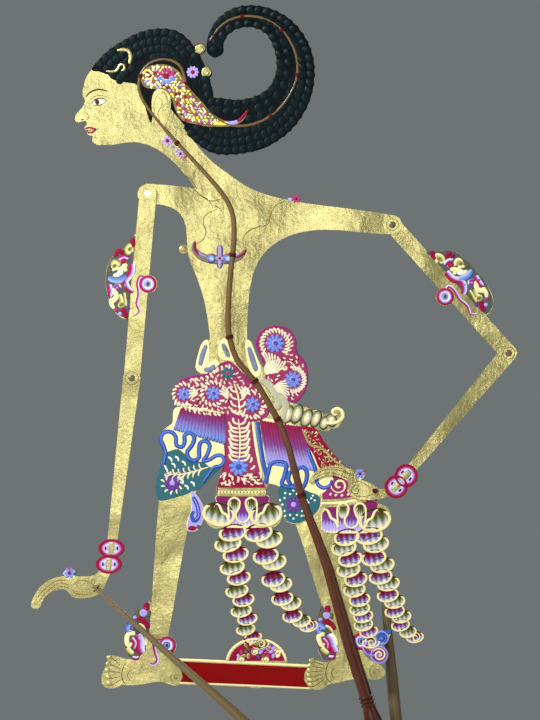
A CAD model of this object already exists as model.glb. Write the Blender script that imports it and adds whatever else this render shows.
"""Looks for a flat leather rod puppet: painted relief on both faces of the hide, horn rods, thread.

Shapes are in millimetres in the frame's own axes, and a plane point is (x, z). Every ornament is
made on the front of its sheet and, mirrored, on the back.
"""
import math
import random

import bpy
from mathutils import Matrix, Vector


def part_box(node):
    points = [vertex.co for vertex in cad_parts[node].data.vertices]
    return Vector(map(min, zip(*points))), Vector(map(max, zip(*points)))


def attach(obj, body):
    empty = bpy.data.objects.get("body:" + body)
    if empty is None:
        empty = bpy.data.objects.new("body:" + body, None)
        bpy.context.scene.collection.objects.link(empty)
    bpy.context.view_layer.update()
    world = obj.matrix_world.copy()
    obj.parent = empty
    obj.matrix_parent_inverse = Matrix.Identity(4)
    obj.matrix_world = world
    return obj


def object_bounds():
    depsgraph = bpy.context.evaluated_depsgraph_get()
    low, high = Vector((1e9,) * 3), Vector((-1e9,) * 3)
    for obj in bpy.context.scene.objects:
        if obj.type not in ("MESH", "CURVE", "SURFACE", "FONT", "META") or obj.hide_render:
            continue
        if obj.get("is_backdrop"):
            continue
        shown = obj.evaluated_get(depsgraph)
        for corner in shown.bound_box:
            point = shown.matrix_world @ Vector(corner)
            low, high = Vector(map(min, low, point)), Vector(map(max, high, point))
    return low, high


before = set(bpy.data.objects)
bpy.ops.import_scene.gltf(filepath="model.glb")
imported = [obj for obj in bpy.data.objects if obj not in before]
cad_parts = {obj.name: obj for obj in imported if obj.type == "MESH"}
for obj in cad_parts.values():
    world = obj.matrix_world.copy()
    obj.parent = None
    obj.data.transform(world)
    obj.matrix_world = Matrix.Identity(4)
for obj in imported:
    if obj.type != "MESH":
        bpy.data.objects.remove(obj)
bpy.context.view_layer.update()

MM = 0.001
FRONT = -1
BACK = 1
BOTH = (FRONT, BACK)
HIDE_THICK = 1.2
SUNK = 0.08                      # how deep a shape's foot sits in what it lies on


# ---- plane geometry --------------------------------------------------------------------------
def curve(points, closed=False, step=1.2):
    """Points along a smooth line through the given ones."""
    count = len(points)
    spans = count if closed else count - 1
    line = []
    for i in range(spans):
        if closed:
            around = [points[(i + k - 1) % count] for k in range(4)]
        else:
            around = [points[min(max(i + k - 1, 0), count - 1)] for k in range(4)]
        before, start, end, after = around
        pieces = max(2, min(24, round(math.dist(start, end) / step)))
        for k in range(pieces):
            t = k / pieces
            line.append(tuple(
                0.5 * (2 * s + (e - b) * t + (2 * b - 5 * s + 4 * e - a) * t * t
                       + (3 * s - b - 3 * e + a) * t * t * t)
                for b, s, e, a in zip(before, start, end, after)))
    if not closed:
        line.append(tuple(points[-1]))
    return line


def spiral(centre, outer, inner, start, turns):
    """Points winding in from a start angle in degrees; turns may be negative."""
    count = max(6, round(abs(turns) * 10))
    found = []
    for i in range(count + 1):
        t = i / count
        radius = outer + (inner - outer) * t
        angle = math.radians(start) + turns * 2 * math.pi * t
        found.append((centre[0] + radius * math.cos(angle), centre[1] + radius * math.sin(angle)))
    return found


def inside(point, outline):
    crossings = 0
    for (x0, z0), (x1, z1) in zip(outline, outline[1:] + outline[:1]):
        if (z0 > point[1]) != (z1 > point[1]):
            if point[0] < x0 + (point[1] - z0) * (x1 - x0) / (z1 - z0):
                crossings += 1
    return crossings % 2 == 1


def between(start, end, t):
    return (start[0] + (end[0] - start[0]) * t, start[1] + (end[1] - start[1]) * t)


def polar(centre, radius, degrees):
    """Place at a distance and an angle in degrees from a centre."""
    angle = math.radians(degrees)
    return (centre[0] + radius * math.cos(angle), centre[1] + radius * math.sin(angle))


def offset(outline, distance):
    """The closed outline moved outwards by a distance."""
    area = sum(x0 * z1 - x1 * z0 for (x0, z0), (x1, z1) in zip(outline, outline[1:] + outline[:1]))
    sign = 1 if area > 0 else -1
    moved = []
    for i, (x, z) in enumerate(outline):
        before = outline[i - 1]
        after = outline[(i + 1) % len(outline)]
        dx, dz = after[0] - before[0], after[1] - before[1]
        length = math.hypot(dx, dz) or 1.0
        moved.append((x + sign * distance * dz / length, z - sign * distance * dx / length))
    return moved


def counter_clockwise(outline):
    area = sum(x0 * z1 - x1 * z0 for (x0, z0), (x1, z1) in zip(outline, outline[1:] + outline[:1]))
    return outline if area > 0 else outline[::-1]


# ---- sheets and pieces -----------------------------------------------------------------------
class Hide:
    """One cut sheet: where its two faces are."""

    def __init__(self, node, body):
        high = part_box(node)[1]
        self.body = body
        self.back = high.y / MM
        self.front = self.back - HIDE_THICK
        self.bowed = node == "body_sheet"

    def bow(self, x, z):
        """How far the sheet is bent forward: an S of two arcs out to the right shoulder."""
        start, reach, depth = -85.0, 65.0, 5.0
        if not self.bowed or x <= start or not 390.0 < z < 475.0:
            return 0.0
        along = min(x - start, reach)
        radius = (reach * reach + depth * depth) / (4 * depth)
        if along < reach / 2:
            return radius - math.sqrt(radius * radius - along * along)
        return depth - radius + math.sqrt(radius * radius - (reach - along) ** 2)

    def spot(self, side, x, z, lift):
        level = self.front - lift if side == FRONT else self.back + lift
        return (x, level - self.bow(x, z), z)


class Piece:
    """One mesh made of many small closed shapes, which rides on one CAD body."""

    def __init__(self, name, hide, slot="hide"):
        self.name = name
        self.hide = hide
        self.slot = slot
        self.corners = []
        self.local = []
        self.faces = []
        self.paint_of = []
        self.smooth = []
        self.paints = []

    def add(self, corners, local, faces, paint, smooth=True, flip=False):
        first = len(self.corners)
        if paint not in self.paints:
            self.paints.append(paint)
        self.corners += corners
        self.local += local
        for count, face in enumerate(faces):
            ring = [first + i for i in face]
            self.faces.append(ring[::-1] if flip else ring)
            self.paint_of.append(self.paints.index(paint))
            self.smooth.append(smooth if isinstance(smooth, bool) else smooth[count])

    def make(self):
        mesh = bpy.data.meshes.new(self.name)
        mesh.from_pydata([[value * MM for value in corner] for corner in self.corners], [], self.faces)
        for paint in self.paints:
            mesh.materials.append(paint)
        mesh.polygons.foreach_set("material_index", self.paint_of)
        mesh.polygons.foreach_set("use_smooth", self.smooth)
        local = mesh.attributes.new("local", "FLOAT_VECTOR", "POINT")
        local.data.foreach_set("vector", [value for place in self.local for value in place])
        mesh.update()
        made = bpy.data.objects.new(self.name, mesh)
        bpy.context.scene.collection.objects.link(made)
        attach(made, self.hide.body)
        return made

    # -- shapes ---------------------------------------------------------------------------
    def stroke(self, points, width, paint, base=0.2, height=0.3, ends=(0.35, 0.35), closed=False,
               sides=BOTH, smooth_line=True):
        """Raised line of half-round section, narrower towards its ends."""
        line = curve(points, closed) if smooth_line else list(points)
        count = len(line)
        section = ((-1, -SUNK), (-0.72, 0.7), (0, 1), (0.72, 0.7), (1, -SUNK))
        for side in sides:
            corners, local, faces = [], [], []
            for i, (x, z) in enumerate(line):
                t = i / (count - 1) if not closed else 0.5
                before = line[i - 1] if closed else line[max(i - 1, 0)]
                after = line[(i + 1) % count] if closed else line[min(i + 1, count - 1)]
                dx, dz = after[0] - before[0], after[1] - before[1]
                length = math.hypot(dx, dz) or 1.0
                end = ends[0] if t < 0.5 else ends[1]
                swell = 1.0 if closed else end + (1 - end) * math.sqrt(min(1.0, 4 * t * (1 - t)))
                half = width / 2 * swell
                for across, up in section:
                    lift = base + (height * up * (0.4 + 0.6 * swell) if up > 0 else up)
                    corners.append(self.hide.spot(side, x - dz / length * half * across,
                                                  z + dx / length * half * across, lift))
                    local.append((i / max(count - 1, 1), across, 0.0))
            sections = count if closed else count - 1
            for i in range(sections):
                j = (i + 1) % count
                for k in range(5):
                    m = (k + 1) % 5
                    faces.append((i * 5 + k, i * 5 + m, j * 5 + m, j * 5 + k))
            if not closed:
                faces.append(tuple(range(4, -1, -1)))
                faces.append(tuple((count - 1) * 5 + k for k in range(5)))
            self.add(corners, local, faces, paint, True, flip=(side == FRONT))

    def comma(self, head, tail, width, paint, bend=0.2, **more):
        """Short brush stroke: a fat head that thins to its tail."""
        dx, dz = tail[0] - head[0], tail[1] - head[1]
        middle = (head[0] + dx * 0.45 - dz * bend, head[1] + dz * 0.45 + dx * bend)
        self.stroke([head, middle, tail], width, paint, ends=(0.75, 0.08), **more)

    def dome(self, centre, half_width, half_height, turn, paint, base=0.2, height=0.35,
             profile=((0, 1), (0.45, 0.88), (0.78, 0.6), (1, 0)), segments=16, sides=BOTH, groove=0.0):
        """Raised oval with a profile of (share of radius, share of height)."""
        angle = math.radians(turn)
        cos_turn, sin_turn = math.cos(angle), math.sin(angle)
        for side in sides:
            corners, local, faces = [], [], []
            rings = profile[1:]

            def put(u, v, lift):
                x = centre[0] + u * half_width * cos_turn - v * half_height * sin_turn
                z = centre[1] + u * half_width * sin_turn + v * half_height * cos_turn
                corners.append(self.hide.spot(side, x, z, lift))
                local.append((u, v, 0.0))

            put(0, 0, base + height * profile[0][1])
            for share, up in rings:
                for k in range(segments):
                    around = 2 * math.pi * k / segments
                    cut = groove * math.cos(around + share * 5.5) * (0.3 + share) if up > 0 else 0.0
                    put(share * math.cos(around), share * math.sin(around),
                        base + height * (up + cut) if up > 0 else base - SUNK)
            for k in range(segments):
                m = (k + 1) % segments
                faces.append((0, 1 + k, 1 + m))
                for ring in range(len(rings) - 1):
                    a, b = 1 + ring * segments, 1 + (ring + 1) * segments
                    faces.append((a + k, b + k, b + m, a + m))
            last = 1 + (len(rings) - 1) * segments
            faces.append(tuple(last + k for k in range(segments - 1, -1, -1)))
            self.add(corners, local, faces, paint, True, flip=(side == BACK))

    def wrap(self, outline, paint, lift=0.2, grow=0.25, bevel=0.35, edge=None):
        """Painted skin over a whole region of the sheet, both faces and the cut edge."""
        outer = counter_clockwise(offset(counter_clockwise(outline), grow))
        inner = offset(outer, -bevel)
        count = len(outer)
        rows = ((FRONT, inner, lift), (FRONT, outer, lift - 0.18), (BACK, outer, lift - 0.18),
                (BACK, inner, lift))
        corners, local, faces, smooth = [], [], [], []
        for side, ring, up in rows:
            for x, z in ring:
                corners.append(self.hide.spot(side, x, z, up))
                local.append((x, z, 0.0))
        for row in range(3):
            for k in range(count):
                m = (k + 1) % count
                faces.append((row * count + k, row * count + m, (row + 1) * count + m,
                              (row + 1) * count + k))
                smooth.append(True)
        self.add(corners, local, faces, edge or paint, smooth, flip=True)
        caps = [tuple(range(count - 1, -1, -1)), tuple(range(count, 2 * count))]
        both = [corners[k] for k in range(count)] + [corners[3 * count + k] for k in range(count)]
        both_local = local[:count] + local[3 * count:]
        self.add(both, both_local, caps, paint, False, flip=True)

    def lobe(self, centre, half_width, half_height, turn, paint, lift=0.42, tilt=0.16, grow=0.25,
             segments=28, rim=0.82):
        """Puffed oval with a raised rim, front and back in one closed shape; its foot stands
        prouder than its top, like a shingle."""
        profile = ((0.0, 0.42), (0.3, 0.5), (0.55, 0.42), (rim - 0.08, 0.16), (rim, 0.66),
                   (rim + 0.08, 1.0), (rim + 0.14, 0.85), (1.0, 0.1))
        angle = math.radians(turn)
        cos_turn, sin_turn = math.cos(angle), math.sin(angle)
        wide, high = half_width + grow, half_height + grow
        corners, local, faces = [], [], []
        for side in BOTH:
            for share, up in profile:
                for k in range(segments):
                    if share == 0 and k:
                        break
                    around = 2 * math.pi * k / segments
                    u, v = share * math.cos(around), share * math.sin(around)
                    x = centre[0] + u * wide * cos_turn - v * high * sin_turn
                    z = centre[1] + u * wide * sin_turn + v * high * cos_turn
                    corners.append(self.hide.spot(side, x, z, lift * up - tilt * v + 0.06))
                    local.append((u, v, 0.0))
        half = len(corners) // 2
        rings = len(profile) - 1
        for start, mirrored in ((0, True), (half, False)):
            for k in range(segments):
                m = (k + 1) % segments
                ring_faces = [(start, start + 1 + k, start + 1 + m)]
                for ring in range(rings - 1):
                    a = start + 1 + ring * segments
                    b = a + segments
                    ring_faces.append((a + k, b + k, b + m, a + m))
                faces += ring_faces if mirrored else [face[::-1] for face in ring_faces]
        last_front = 1 + (rings - 1) * segments
        for k in range(segments):
            m = (k + 1) % segments
            a, b = last_front, half + last_front
            faces.append((a + k, b + k, b + m, a + m))
        self.add(corners, local, faces, paint, True)

    def flower(self, centre, radius, petals, petal_paint, heart_paint, base=0.2, turn=0.0, heart=0.34):
        """Round petals about a heart."""
        for k in range(petals):
            around = turn + 360.0 * k / petals
            place = polar(centre, radius * 0.6, around)
            self.dome(place, radius * 0.42, radius * min(0.36, 1.9 / petals), around, petal_paint,
                      base=base, height=0.28, segments=12)
        self.dome(centre, radius * heart, radius * heart, 0, heart_paint, base=base + 0.1, height=0.35,
                  segments=12)


# ---- materials -------------------------------------------------------------------------------
class Graph:
    """Node graph of one material."""

    def __init__(self, name):
        self.material = bpy.data.materials.new(name)
        self.material.use_nodes = True
        self.tree = self.material.node_tree
        self.shader = self.tree.nodes["Principled BSDF"]

    def node(self, kind, settings=None, **inputs):
        made = self.tree.nodes.new("ShaderNode" + kind)
        for name, value in (settings or {}).items():
            setattr(made, name, value)
        for name, value in inputs.items():
            self.put(made.inputs[name.replace("_", " ")], value)
        return made

    def put(self, socket, value):
        if isinstance(value, bpy.types.NodeSocket):
            self.tree.links.new(value, socket)
        elif isinstance(value, tuple) and len(value) == 3 and socket.type == "RGBA":
            socket.default_value = value + (1.0,)
        else:
            socket.default_value = value

    def maths(self, operation, *values):
        made = self.node("Math", {"operation": operation})
        for socket, value in zip(made.inputs, values):
            self.put(socket, value)
        return made.outputs[0]

    def mix(self, factor, first, second, kind="MIX"):
        made = self.node("Mix", {"data_type": "RGBA", "blend_type": kind})
        self.put(made.inputs[0], factor)
        self.put(made.inputs[6], first)
        self.put(made.inputs[7], second)
        return made.outputs[2]

    def ramp(self, value, *stops):
        made = self.node("ValToRGB")
        self.put(made.inputs[0], value)
        elements = made.color_ramp.elements
        while len(elements) < len(stops):
            elements.new(0.5)
        for element, (place, colour) in zip(elements, stops):
            element.position = place
            element.color = colour + (1.0,)
        return made.outputs[0]

    def place(self):
        return self.node("TexCoord").outputs["Object"]

    def axes(self, vector=None):
        made = self.node("SeparateXYZ")
        self.put(made.inputs[0], vector or self.place())
        return made.outputs

    def local(self):
        """The first two values that each shape leaves on its points."""
        made = self.node("Attribute", {"attribute_name": "local"})
        return self.axes(made.outputs["Vector"])[:2]

    def from_middle(self, u, v):
        """Distance from the middle of an oval, 1 at its edge."""
        squares = [self.maths("MULTIPLY", value, value) for value in (u, v)]
        return self.maths("SQRT", self.maths("ADD", *squares))

    def noise(self, scale, detail=4.0, rough=0.55, vector=None):
        made = self.node("TexNoise", None, Scale=scale, Detail=detail, Roughness=rough)
        self.put(made.inputs["Vector"], vector or self.place())
        return made.outputs["Fac"]

    def bump(self, *layers):
        """Layers are (height socket, distance in metres)."""
        normal = None
        for height, distance in layers:
            made = self.node("Bump", None, Strength=1.0, Distance=distance)
            self.put(made.inputs["Height"], height)
            if normal:
                self.put(made.inputs["Normal"], normal)
            normal = made.outputs["Normal"]
        self.put(self.shader.inputs["Normal"], normal)

    def finish(self, colour, rough=(0.4, 0.55), metal=0.0, coat=0.0):
        """Colour socket or value, a range of roughness, the metal and the coat."""
        self.put(self.shader.inputs["Base Color"], colour)
        wear = self.noise(120.0, 3.0)
        spread = self.node("MapRange")
        self.put(spread.inputs[0], wear)
        for index, value in ((1, 0.3), (2, 0.7), (3, rough[0]), (4, rough[1])):
            spread.inputs[index].default_value = value
        self.put(self.shader.inputs["Roughness"], spread.outputs[0])
        self.shader.inputs["Metallic"].default_value = metal
        self.shader.inputs["Specular IOR Level"].default_value = 0.07
        self.shader.inputs["Coat Weight"].default_value = coat
        self.shader.inputs["Coat Roughness"].default_value = 0.25
        return self.material


def shade(colour, factor):
    """The same colour, lighter or darker."""
    return tuple(min(1.0, value * factor) for value in colour)


def paint(name, colour, vary=0.22, rough=(0.42, 0.6), grain=0.00006, metal=0.0, coat=0.0):
    """Brushed paint on grained hide."""
    graph = Graph(name)
    fine = graph.noise(900.0, 3.0)
    broad = graph.noise(160.0, 4.0)
    mixed = graph.mix(broad, shade(colour, 1 - vary), shade(colour, 1 + vary))
    specks = graph.maths("GREATER_THAN", fine, 0.68)
    worn = graph.mix(graph.maths("MULTIPLY", specks, 0.25), mixed, shade(colour, 0.55))
    graph.bump((fine, grain), (broad, grain * 2.5))
    return graph.finish(worn, rough, metal, coat)


GOLD = (0.62, 0.56, 0.245)
CREAM = (0.66, 0.59, 0.29)
INK = (0.05, 0.025, 0.015)
HAIR = (0.002, 0.006, 0.007)
CRIMSON = (0.20, 0.004, 0.028)
ROSE = (0.30, 0.03, 0.105)
MAGENTA = (0.22, 0.016, 0.12)
PURPLE = (0.11, 0.03, 0.20)
LILAC = (0.30, 0.25, 0.58)
BLUE = (0.028, 0.07, 0.28)
SKY = (0.12, 0.19, 0.53)
TEAL = (0.022, 0.095, 0.115)
OLIVE = (0.085, 0.085, 0.015)
WINE = (0.15, 0.010, 0.045)
RED = (0.16, 0.0005, 0.0008)


def gold_leaf(name, dark_edges=True):
    """Gold leaf on hide: crinkled, rubbed in places, with the raw edge of the cut."""
    graph = Graph(name)
    x, _, z = graph.axes()
    cloud = graph.noise(28.0, 5.0, 0.6)
    crinkle = graph.noise(420.0, 5.0, 0.65)
    scratch = graph.node("Mapping", None, Scale=(300.0, 300.0, 45.0))
    graph.put(scratch.inputs["Vector"], graph.place())
    strokes = graph.noise(1.0, 3.0, 0.6, scratch.outputs[0])
    base = graph.ramp(cloud, (0.3, shade(GOLD, 0.72)), (0.5, GOLD), (0.68, shade(GOLD, 1.2)))
    mottled = graph.mix(graph.maths("MULTIPLY", crinkle, 0.8), base, (0.30, 0.25, 0.08))
    wear = graph.ramp(strokes, (0.5, (0.0, 0.0, 0.0)), (0.68, (1.0, 1.0, 1.0)))
    colour = graph.mix(graph.maths("MULTIPLY", wear, 0.3), mottled, (0.34, 0.28, 0.09))
    if dark_edges:
        normal = graph.node("NewGeometry").outputs["True Normal"]
        sideways = graph.maths("LESS_THAN", graph.maths("ABSOLUTE", graph.axes(normal)[1]), 0.55)
        colour = graph.mix(sideways, colour, (0.40, 0.29, 0.12))
        # the hair's cut edge: right of the nape, or above the hairline
        nape = graph.maths("GREATER_THAN", graph.maths("MULTIPLY_ADD", z, 0.82, x), 0.2542)
        line = graph.maths("GREATER_THAN", graph.maths("MULTIPLY_ADD", x, 0.31, z), 0.4725)
        high = graph.maths("GREATER_THAN", z, 0.4805)
        hair = graph.maths("MULTIPLY", graph.maths("MAXIMUM", nape, line), high)
        colour = graph.mix(hair, colour, HAIR)
    dents = graph.noise(11.0, 2.0)
    graph.bump((crinkle, 0.00012), (strokes, 0.00013), (cloud, 0.002), (dents, 0.009))
    return graph.finish(colour, (0.28, 0.42), 0.86)


def lobe_paint(name, top, upper, lower):
    """Stepped shades inside an oval, dark at the top, with toothed borders and a pale rim."""
    graph = Graph(name)
    u, v = graph.local()
    teeth = graph.maths("PINGPONG", graph.maths("MULTIPLY_ADD", u, 2.4, 10.45), 0.5)
    radius = graph.from_middle(u, v)
    waved = graph.maths("MULTIPLY_ADD", teeth, 0.5, graph.maths("MULTIPLY_ADD", v, 0.5, 0.38))
    inner = graph.ramp(waved, (0.0, CREAM), (0.21, CREAM), (0.25, shade(lower, 1.3)), (0.37, lower),
                       (0.50, upper), (0.66, top), (0.95, shade(top, 0.4)))
    outer = graph.maths("GREATER_THAN", radius, 0.78)
    rim = graph.maths("MULTIPLY", outer, graph.maths("LESS_THAN", v, 0.55))
    inked = graph.maths("GREATER_THAN", radius, 0.965)
    colour = graph.mix(rim, inner, CREAM)
    colour = graph.mix(graph.maths("MULTIPLY", inked, 0.7), colour, (0.10, 0.08, 0.03))
    fine = graph.noise(800.0, 3.0)
    broad = graph.noise(150.0, 3.0)
    colour = graph.mix(graph.maths("MULTIPLY", broad, 0.35), colour, (0.30, 0.27, 0.20), "MULTIPLY")
    graph.bump((fine, 0.00006), (broad, 0.00012))
    return graph.finish(colour, (0.4, 0.55))


def pleat_paint(name, *stops):
    """Shades run along each pleat, a little further down its middle."""
    graph = Graph(name)
    t, across = graph.local()
    shift = graph.maths("MULTIPLY", graph.maths("ABSOLUTE", across), 0.16)
    streak = graph.noise(300.0, 2.0)
    value = graph.maths("ADD", graph.maths("ADD", t, shift), graph.maths("MULTIPLY_ADD", streak, 0.16, -0.08))
    colour = graph.ramp(value, *stops)
    groove = graph.maths("GREATER_THAN", graph.maths("ABSOLUTE", across), 0.8)
    colour = graph.mix(graph.maths("MULTIPLY", groove, 0.75), colour, shade(MAGENTA, 0.3))
    fine = graph.noise(900.0, 3.0)
    graph.bump((fine, 0.00006))
    return graph.finish(colour, (0.42, 0.6))


def ring_paint(name, *stops):
    """Rings of colour about the middle of an oval, given by share of its radius."""
    graph = Graph(name)
    u, v = graph.local()
    radius = graph.from_middle(u, v)
    wander = graph.noise(260.0, 2.0)
    value = graph.maths("ADD", radius, graph.maths("MULTIPLY_ADD", wander, 0.12, -0.06))
    colour = graph.ramp(value, *stops)
    graph.bump((graph.noise(900.0, 3.0), 0.00006))
    return graph.finish(colour, (0.4, 0.55))


def skirt_paint(name, low, high):
    """Toothed steps from magenta down to cream between two heights in metres."""
    graph = Graph(name)
    x, _, z = graph.axes()
    teeth = graph.maths("PINGPONG", graph.maths("MULTIPLY", x, 420.0), 0.5)
    share = graph.maths("DIVIDE", graph.maths("SUBTRACT", z, low), high - low)
    value = graph.maths("MULTIPLY_ADD", teeth, 0.26, graph.maths("ADD", share, 0.06))
    colour = graph.ramp(value, (0.0, CREAM), (0.2, CREAM), (0.24, shade(LILAC, 1.15)), (0.4, LILAC),
                        (0.55, PURPLE), (0.8, shade(MAGENTA, 0.7)))
    graph.bump((graph.noise(900.0, 3.0), 0.00006))
    return graph.finish(colour, (0.42, 0.58))


def band_paint(name, *stops):
    """Shades across a raised band, from one edge to the other, drawn in fine cross strokes."""
    graph = Graph(name)
    across = graph.local()[1]
    hatch = graph.noise(700.0, 2.0)
    value = graph.maths("MULTIPLY_ADD", across, 0.5, graph.maths("MULTIPLY_ADD", hatch, 0.3, 0.35))
    colour = graph.ramp(value, *stops)
    graph.bump((hatch, 0.00008))
    return graph.finish(colour, (0.42, 0.58))


def horn_material(name, dark, middle, pale, pale_core):
    """Polished horn with streaks along it; paler where the rod is thin."""
    graph = Graph(name)
    z = graph.axes()[2]
    stretch = graph.node("Mapping", None, Scale=(700.0, 700.0, 60.0), Rotation=(0.0, 0.28, 0.0))
    graph.put(stretch.inputs["Vector"], graph.place())
    streak = graph.noise(1.0, 4.0, 0.6, stretch.outputs[0])
    cloud = graph.noise(22.0, 3.0)
    height = graph.node("MapRange")
    graph.put(height.inputs[0], graph.maths("MULTIPLY_ADD", cloud, 0.05, z))
    height.inputs[1].default_value = 0.09
    height.inputs[2].default_value = pale_core
    tone = graph.ramp(height.outputs[0], (0.0, dark), (0.45, middle), (1.0, pale))
    colour = graph.mix(graph.maths("MULTIPLY", streak, 0.5), tone, shade(dark, 0.8))
    graph.bump((streak, 0.00005), (graph.noise(1500.0, 2.0), 0.00002))
    return graph.finish(colour, (0.2, 0.34), 0.0, 0.35)


def thread_material(name, colour):
    """Twisted waxed thread."""
    graph = Graph(name)
    wave = graph.node("TexWave", {"wave_type": "BANDS", "bands_direction": "DIAGONAL"}, Scale=900.0,
                      Distortion=2.0, Detail=1.0)
    graph.put(wave.inputs["Vector"], graph.place())
    twisted = graph.mix(wave.outputs["Fac"], shade(colour, 0.45), shade(colour, 1.35))
    graph.bump((wave.outputs["Fac"], 0.00012), (graph.noise(2500.0, 3.0), 0.00005))
    return graph.finish(twisted, (0.55, 0.75))


M = {
    "gold": gold_leaf("gold_leaf_on_hide"),
    "leaf": gold_leaf("gold_leaf_relief", False),
    "cream": paint("cream_paint", CREAM, 0.12),
    "ink": paint("ink_line", INK),
    "rub": paint("dark_gold_line", (0.15, 0.09, 0.025), metal=0.15),
    "hair": paint("hair_paint", HAIR, 0.5, (0.36, 0.5), 0.00015),
    "hair_base": paint("hair_ground", shade(HAIR, 0.5), 0.3, (0.35, 0.5)),
    "crimson": paint("crimson_paint", CRIMSON),
    "wine": paint("wine_paint", WINE),
    "rose": paint("rose_paint", ROSE, 0.18),
    "magenta": paint("magenta_paint", MAGENTA),
    "purple": paint("purple_paint", PURPLE),
    "lilac": paint("lilac_paint", LILAC, 0.15),
    "blue": paint("blue_paint", BLUE),
    "sky": paint("sky_blue_paint", SKY, 0.15),
    "teal": paint("teal_paint", TEAL),
    "olive": paint("olive_paint", OLIVE),
    "red": paint("red_paint", RED, 0.12, (0.38, 0.5)),
    "white": paint("white_paint", (0.78, 0.78, 0.72), 0.08),
    "yellow": paint("yellow_paint", (0.62, 0.50, 0.05)),
    "lobe_purple": lobe_paint("purple_lobe", shade(CRIMSON, 0.7), (0.13, 0.03, 0.13), (0.22, 0.21, 0.42)),
    "lobe_olive": lobe_paint("olive_lobe", shade(OLIVE, 0.7), (0.14, 0.16, 0.06), (0.36, 0.37, 0.36)),
    "pleat_left": pleat_paint("left_pleats", (0.0, shade(CRIMSON, 0.8)), (0.3, (0.15, 0.02, 0.09)),
                              (0.5, (0.13, 0.05, 0.20)), (0.7, (0.16, 0.13, 0.36)), (0.88, SKY),
                              (1.0, BLUE)),
    "pleat_right": pleat_paint("right_pleats", (0.0, shade(CRIMSON, 0.95)), (0.32, (0.18, 0.014, 0.065)),
                               (0.6, (0.15, 0.04, 0.17)), (0.78, (0.22, 0.19, 0.42)), (0.92, LILAC),
                               (1.0, SKY)),
    "skirt_centre": skirt_paint("centre_skirt_paint", 0.208, 0.231),
    "skirt_right": skirt_paint("right_skirt_paint", 0.203, 0.227),
    "ring": ring_paint("ring_paint", (0.0, SKY), (0.25, LILAC), (0.5, (0.50, 0.48, 0.62)), (0.62, LILAC),
                       (0.72, ROSE), (0.82, CRIMSON)),
    "gap": paint("cutwork_gap", (0.062, 0.070, 0.066)),
    "hook": band_paint("hook_band", (0.0, CRIMSON), (0.3, shade(CRIMSON, 1.5)), (0.42, MAGENTA), (0.6, LILAC),
                       (0.85, (0.62, 0.60, 0.78)), (1.0, LILAC)),
    "blue_band": band_paint("blue_band", (0.0, BLUE), (0.5, SKY), (1.0, (0.35, 0.42, 0.72))),
    "gold_band": band_paint("gold_band", (0.0, OLIVE), (0.35, (0.34, 0.30, 0.08)), (0.7, CREAM),
                            (1.0, CREAM)),
    "bubble": ring_paint("bubble_paint", (0.0, CREAM), (0.45, shade(CREAM, 0.75)), (0.72, (0.20, 0.20, 0.12)),
                         (0.9, (0.05, 0.05, 0.025)), (1.0, (0.03, 0.03, 0.015))),
    "bubble_fold": paint("bubble_fold_paint", (0.33, 0.33, 0.22)),
    "mosaic": paint("mosaic_ground", (0.16, 0.10, 0.035)),
    "bud_blue": ring_paint("blue_bud", (0.0, SKY), (0.4, BLUE), (0.75, SKY), (0.95, LILAC)),
    "bud_red": ring_paint("red_bud", (0.0, ROSE), (0.5, CRIMSON), (0.8, shade(CRIMSON, 1.6)), (0.97, CREAM)),
    "bud_olive": ring_paint("olive_bud", (0.0, OLIVE), (0.6, (0.20, 0.19, 0.05)), (0.9, CREAM)),
    "bud_cream": ring_paint("cream_bud", (0.0, CREAM), (0.5, shade(CREAM, 0.8)), (0.85, shade(OLIVE, 1.6)),
                            (1.0, shade(OLIVE, 0.8))),
    "bud_purple": ring_paint("purple_bud", (0.0, LILAC), (0.4, MAGENTA), (0.75, PURPLE), (0.95, LILAC)),
    "horn": horn_material("dark_horn", (0.045, 0.008, 0.004), (0.080, 0.026, 0.009), (0.13, 0.085, 0.03),
                          0.42),
    "pale_horn": horn_material("pale_horn", (0.10, 0.070, 0.028), (0.13, 0.092, 0.042), (0.14, 0.105, 0.06),
                               0.2),
    "thread": thread_material("red_thread", (0.07, 0.007, 0.006)),
    "bone": paint("polished_bone", (0.80, 0.79, 0.74), 0.06, (0.15, 0.25), coat=0.4),
    "dark_peg": paint("dark_peg_horn", (0.10, 0.075, 0.05), 0.3, (0.2, 0.3), coat=0.3),
    "cord": thread_material("waxed_knot", (0.10, 0.07, 0.045)),
    "petal": paint("petal_paint", (0.60, 0.53, 0.37), 0.15),
    "cloth": paint("waist_cloth_paint", (0.22, 0.026, 0.078)),
    "heart": paint("heart_petal_paint", (0.15, 0.17, 0.46), 0.3),
    "dusk": paint("dusk_paint", (0.13, 0.12, 0.10)),
    "star": paint("star_paint", (0.24, 0.22, 0.32)),
    "mist": paint("mist_paint", (0.13, 0.155, 0.175), 0.4),
    "gem": ring_paint("gem_paint", (0.0, (0.40, 0.46, 0.52)), (0.45, (0.22, 0.28, 0.40)), (0.75, BLUE),
                      (1.0, LILAC)),
    "raw": paint("raw_hide", (0.35, 0.24, 0.11)),
}

CORE = Hide("body_sheet", "root")
LEFT_UPPER = Hide("left_upper_arm", "left_upper_arm")
LEFT_FORE = Hide("left_forearm", "left_forearm")
RIGHT_UPPER = Hide("right_upper_arm", "right_upper_arm")
RIGHT_FORE = Hide("right_forearm", "right_forearm")
LEFT_SHOULDER = (-183.2, 451.1)
LEFT_ELBOW = (-194.9, 316.8)
RIGHT_SHOULDER = (-5.1, 428.5)
RIGHT_ELBOW = (79.6, 335.0)


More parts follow.
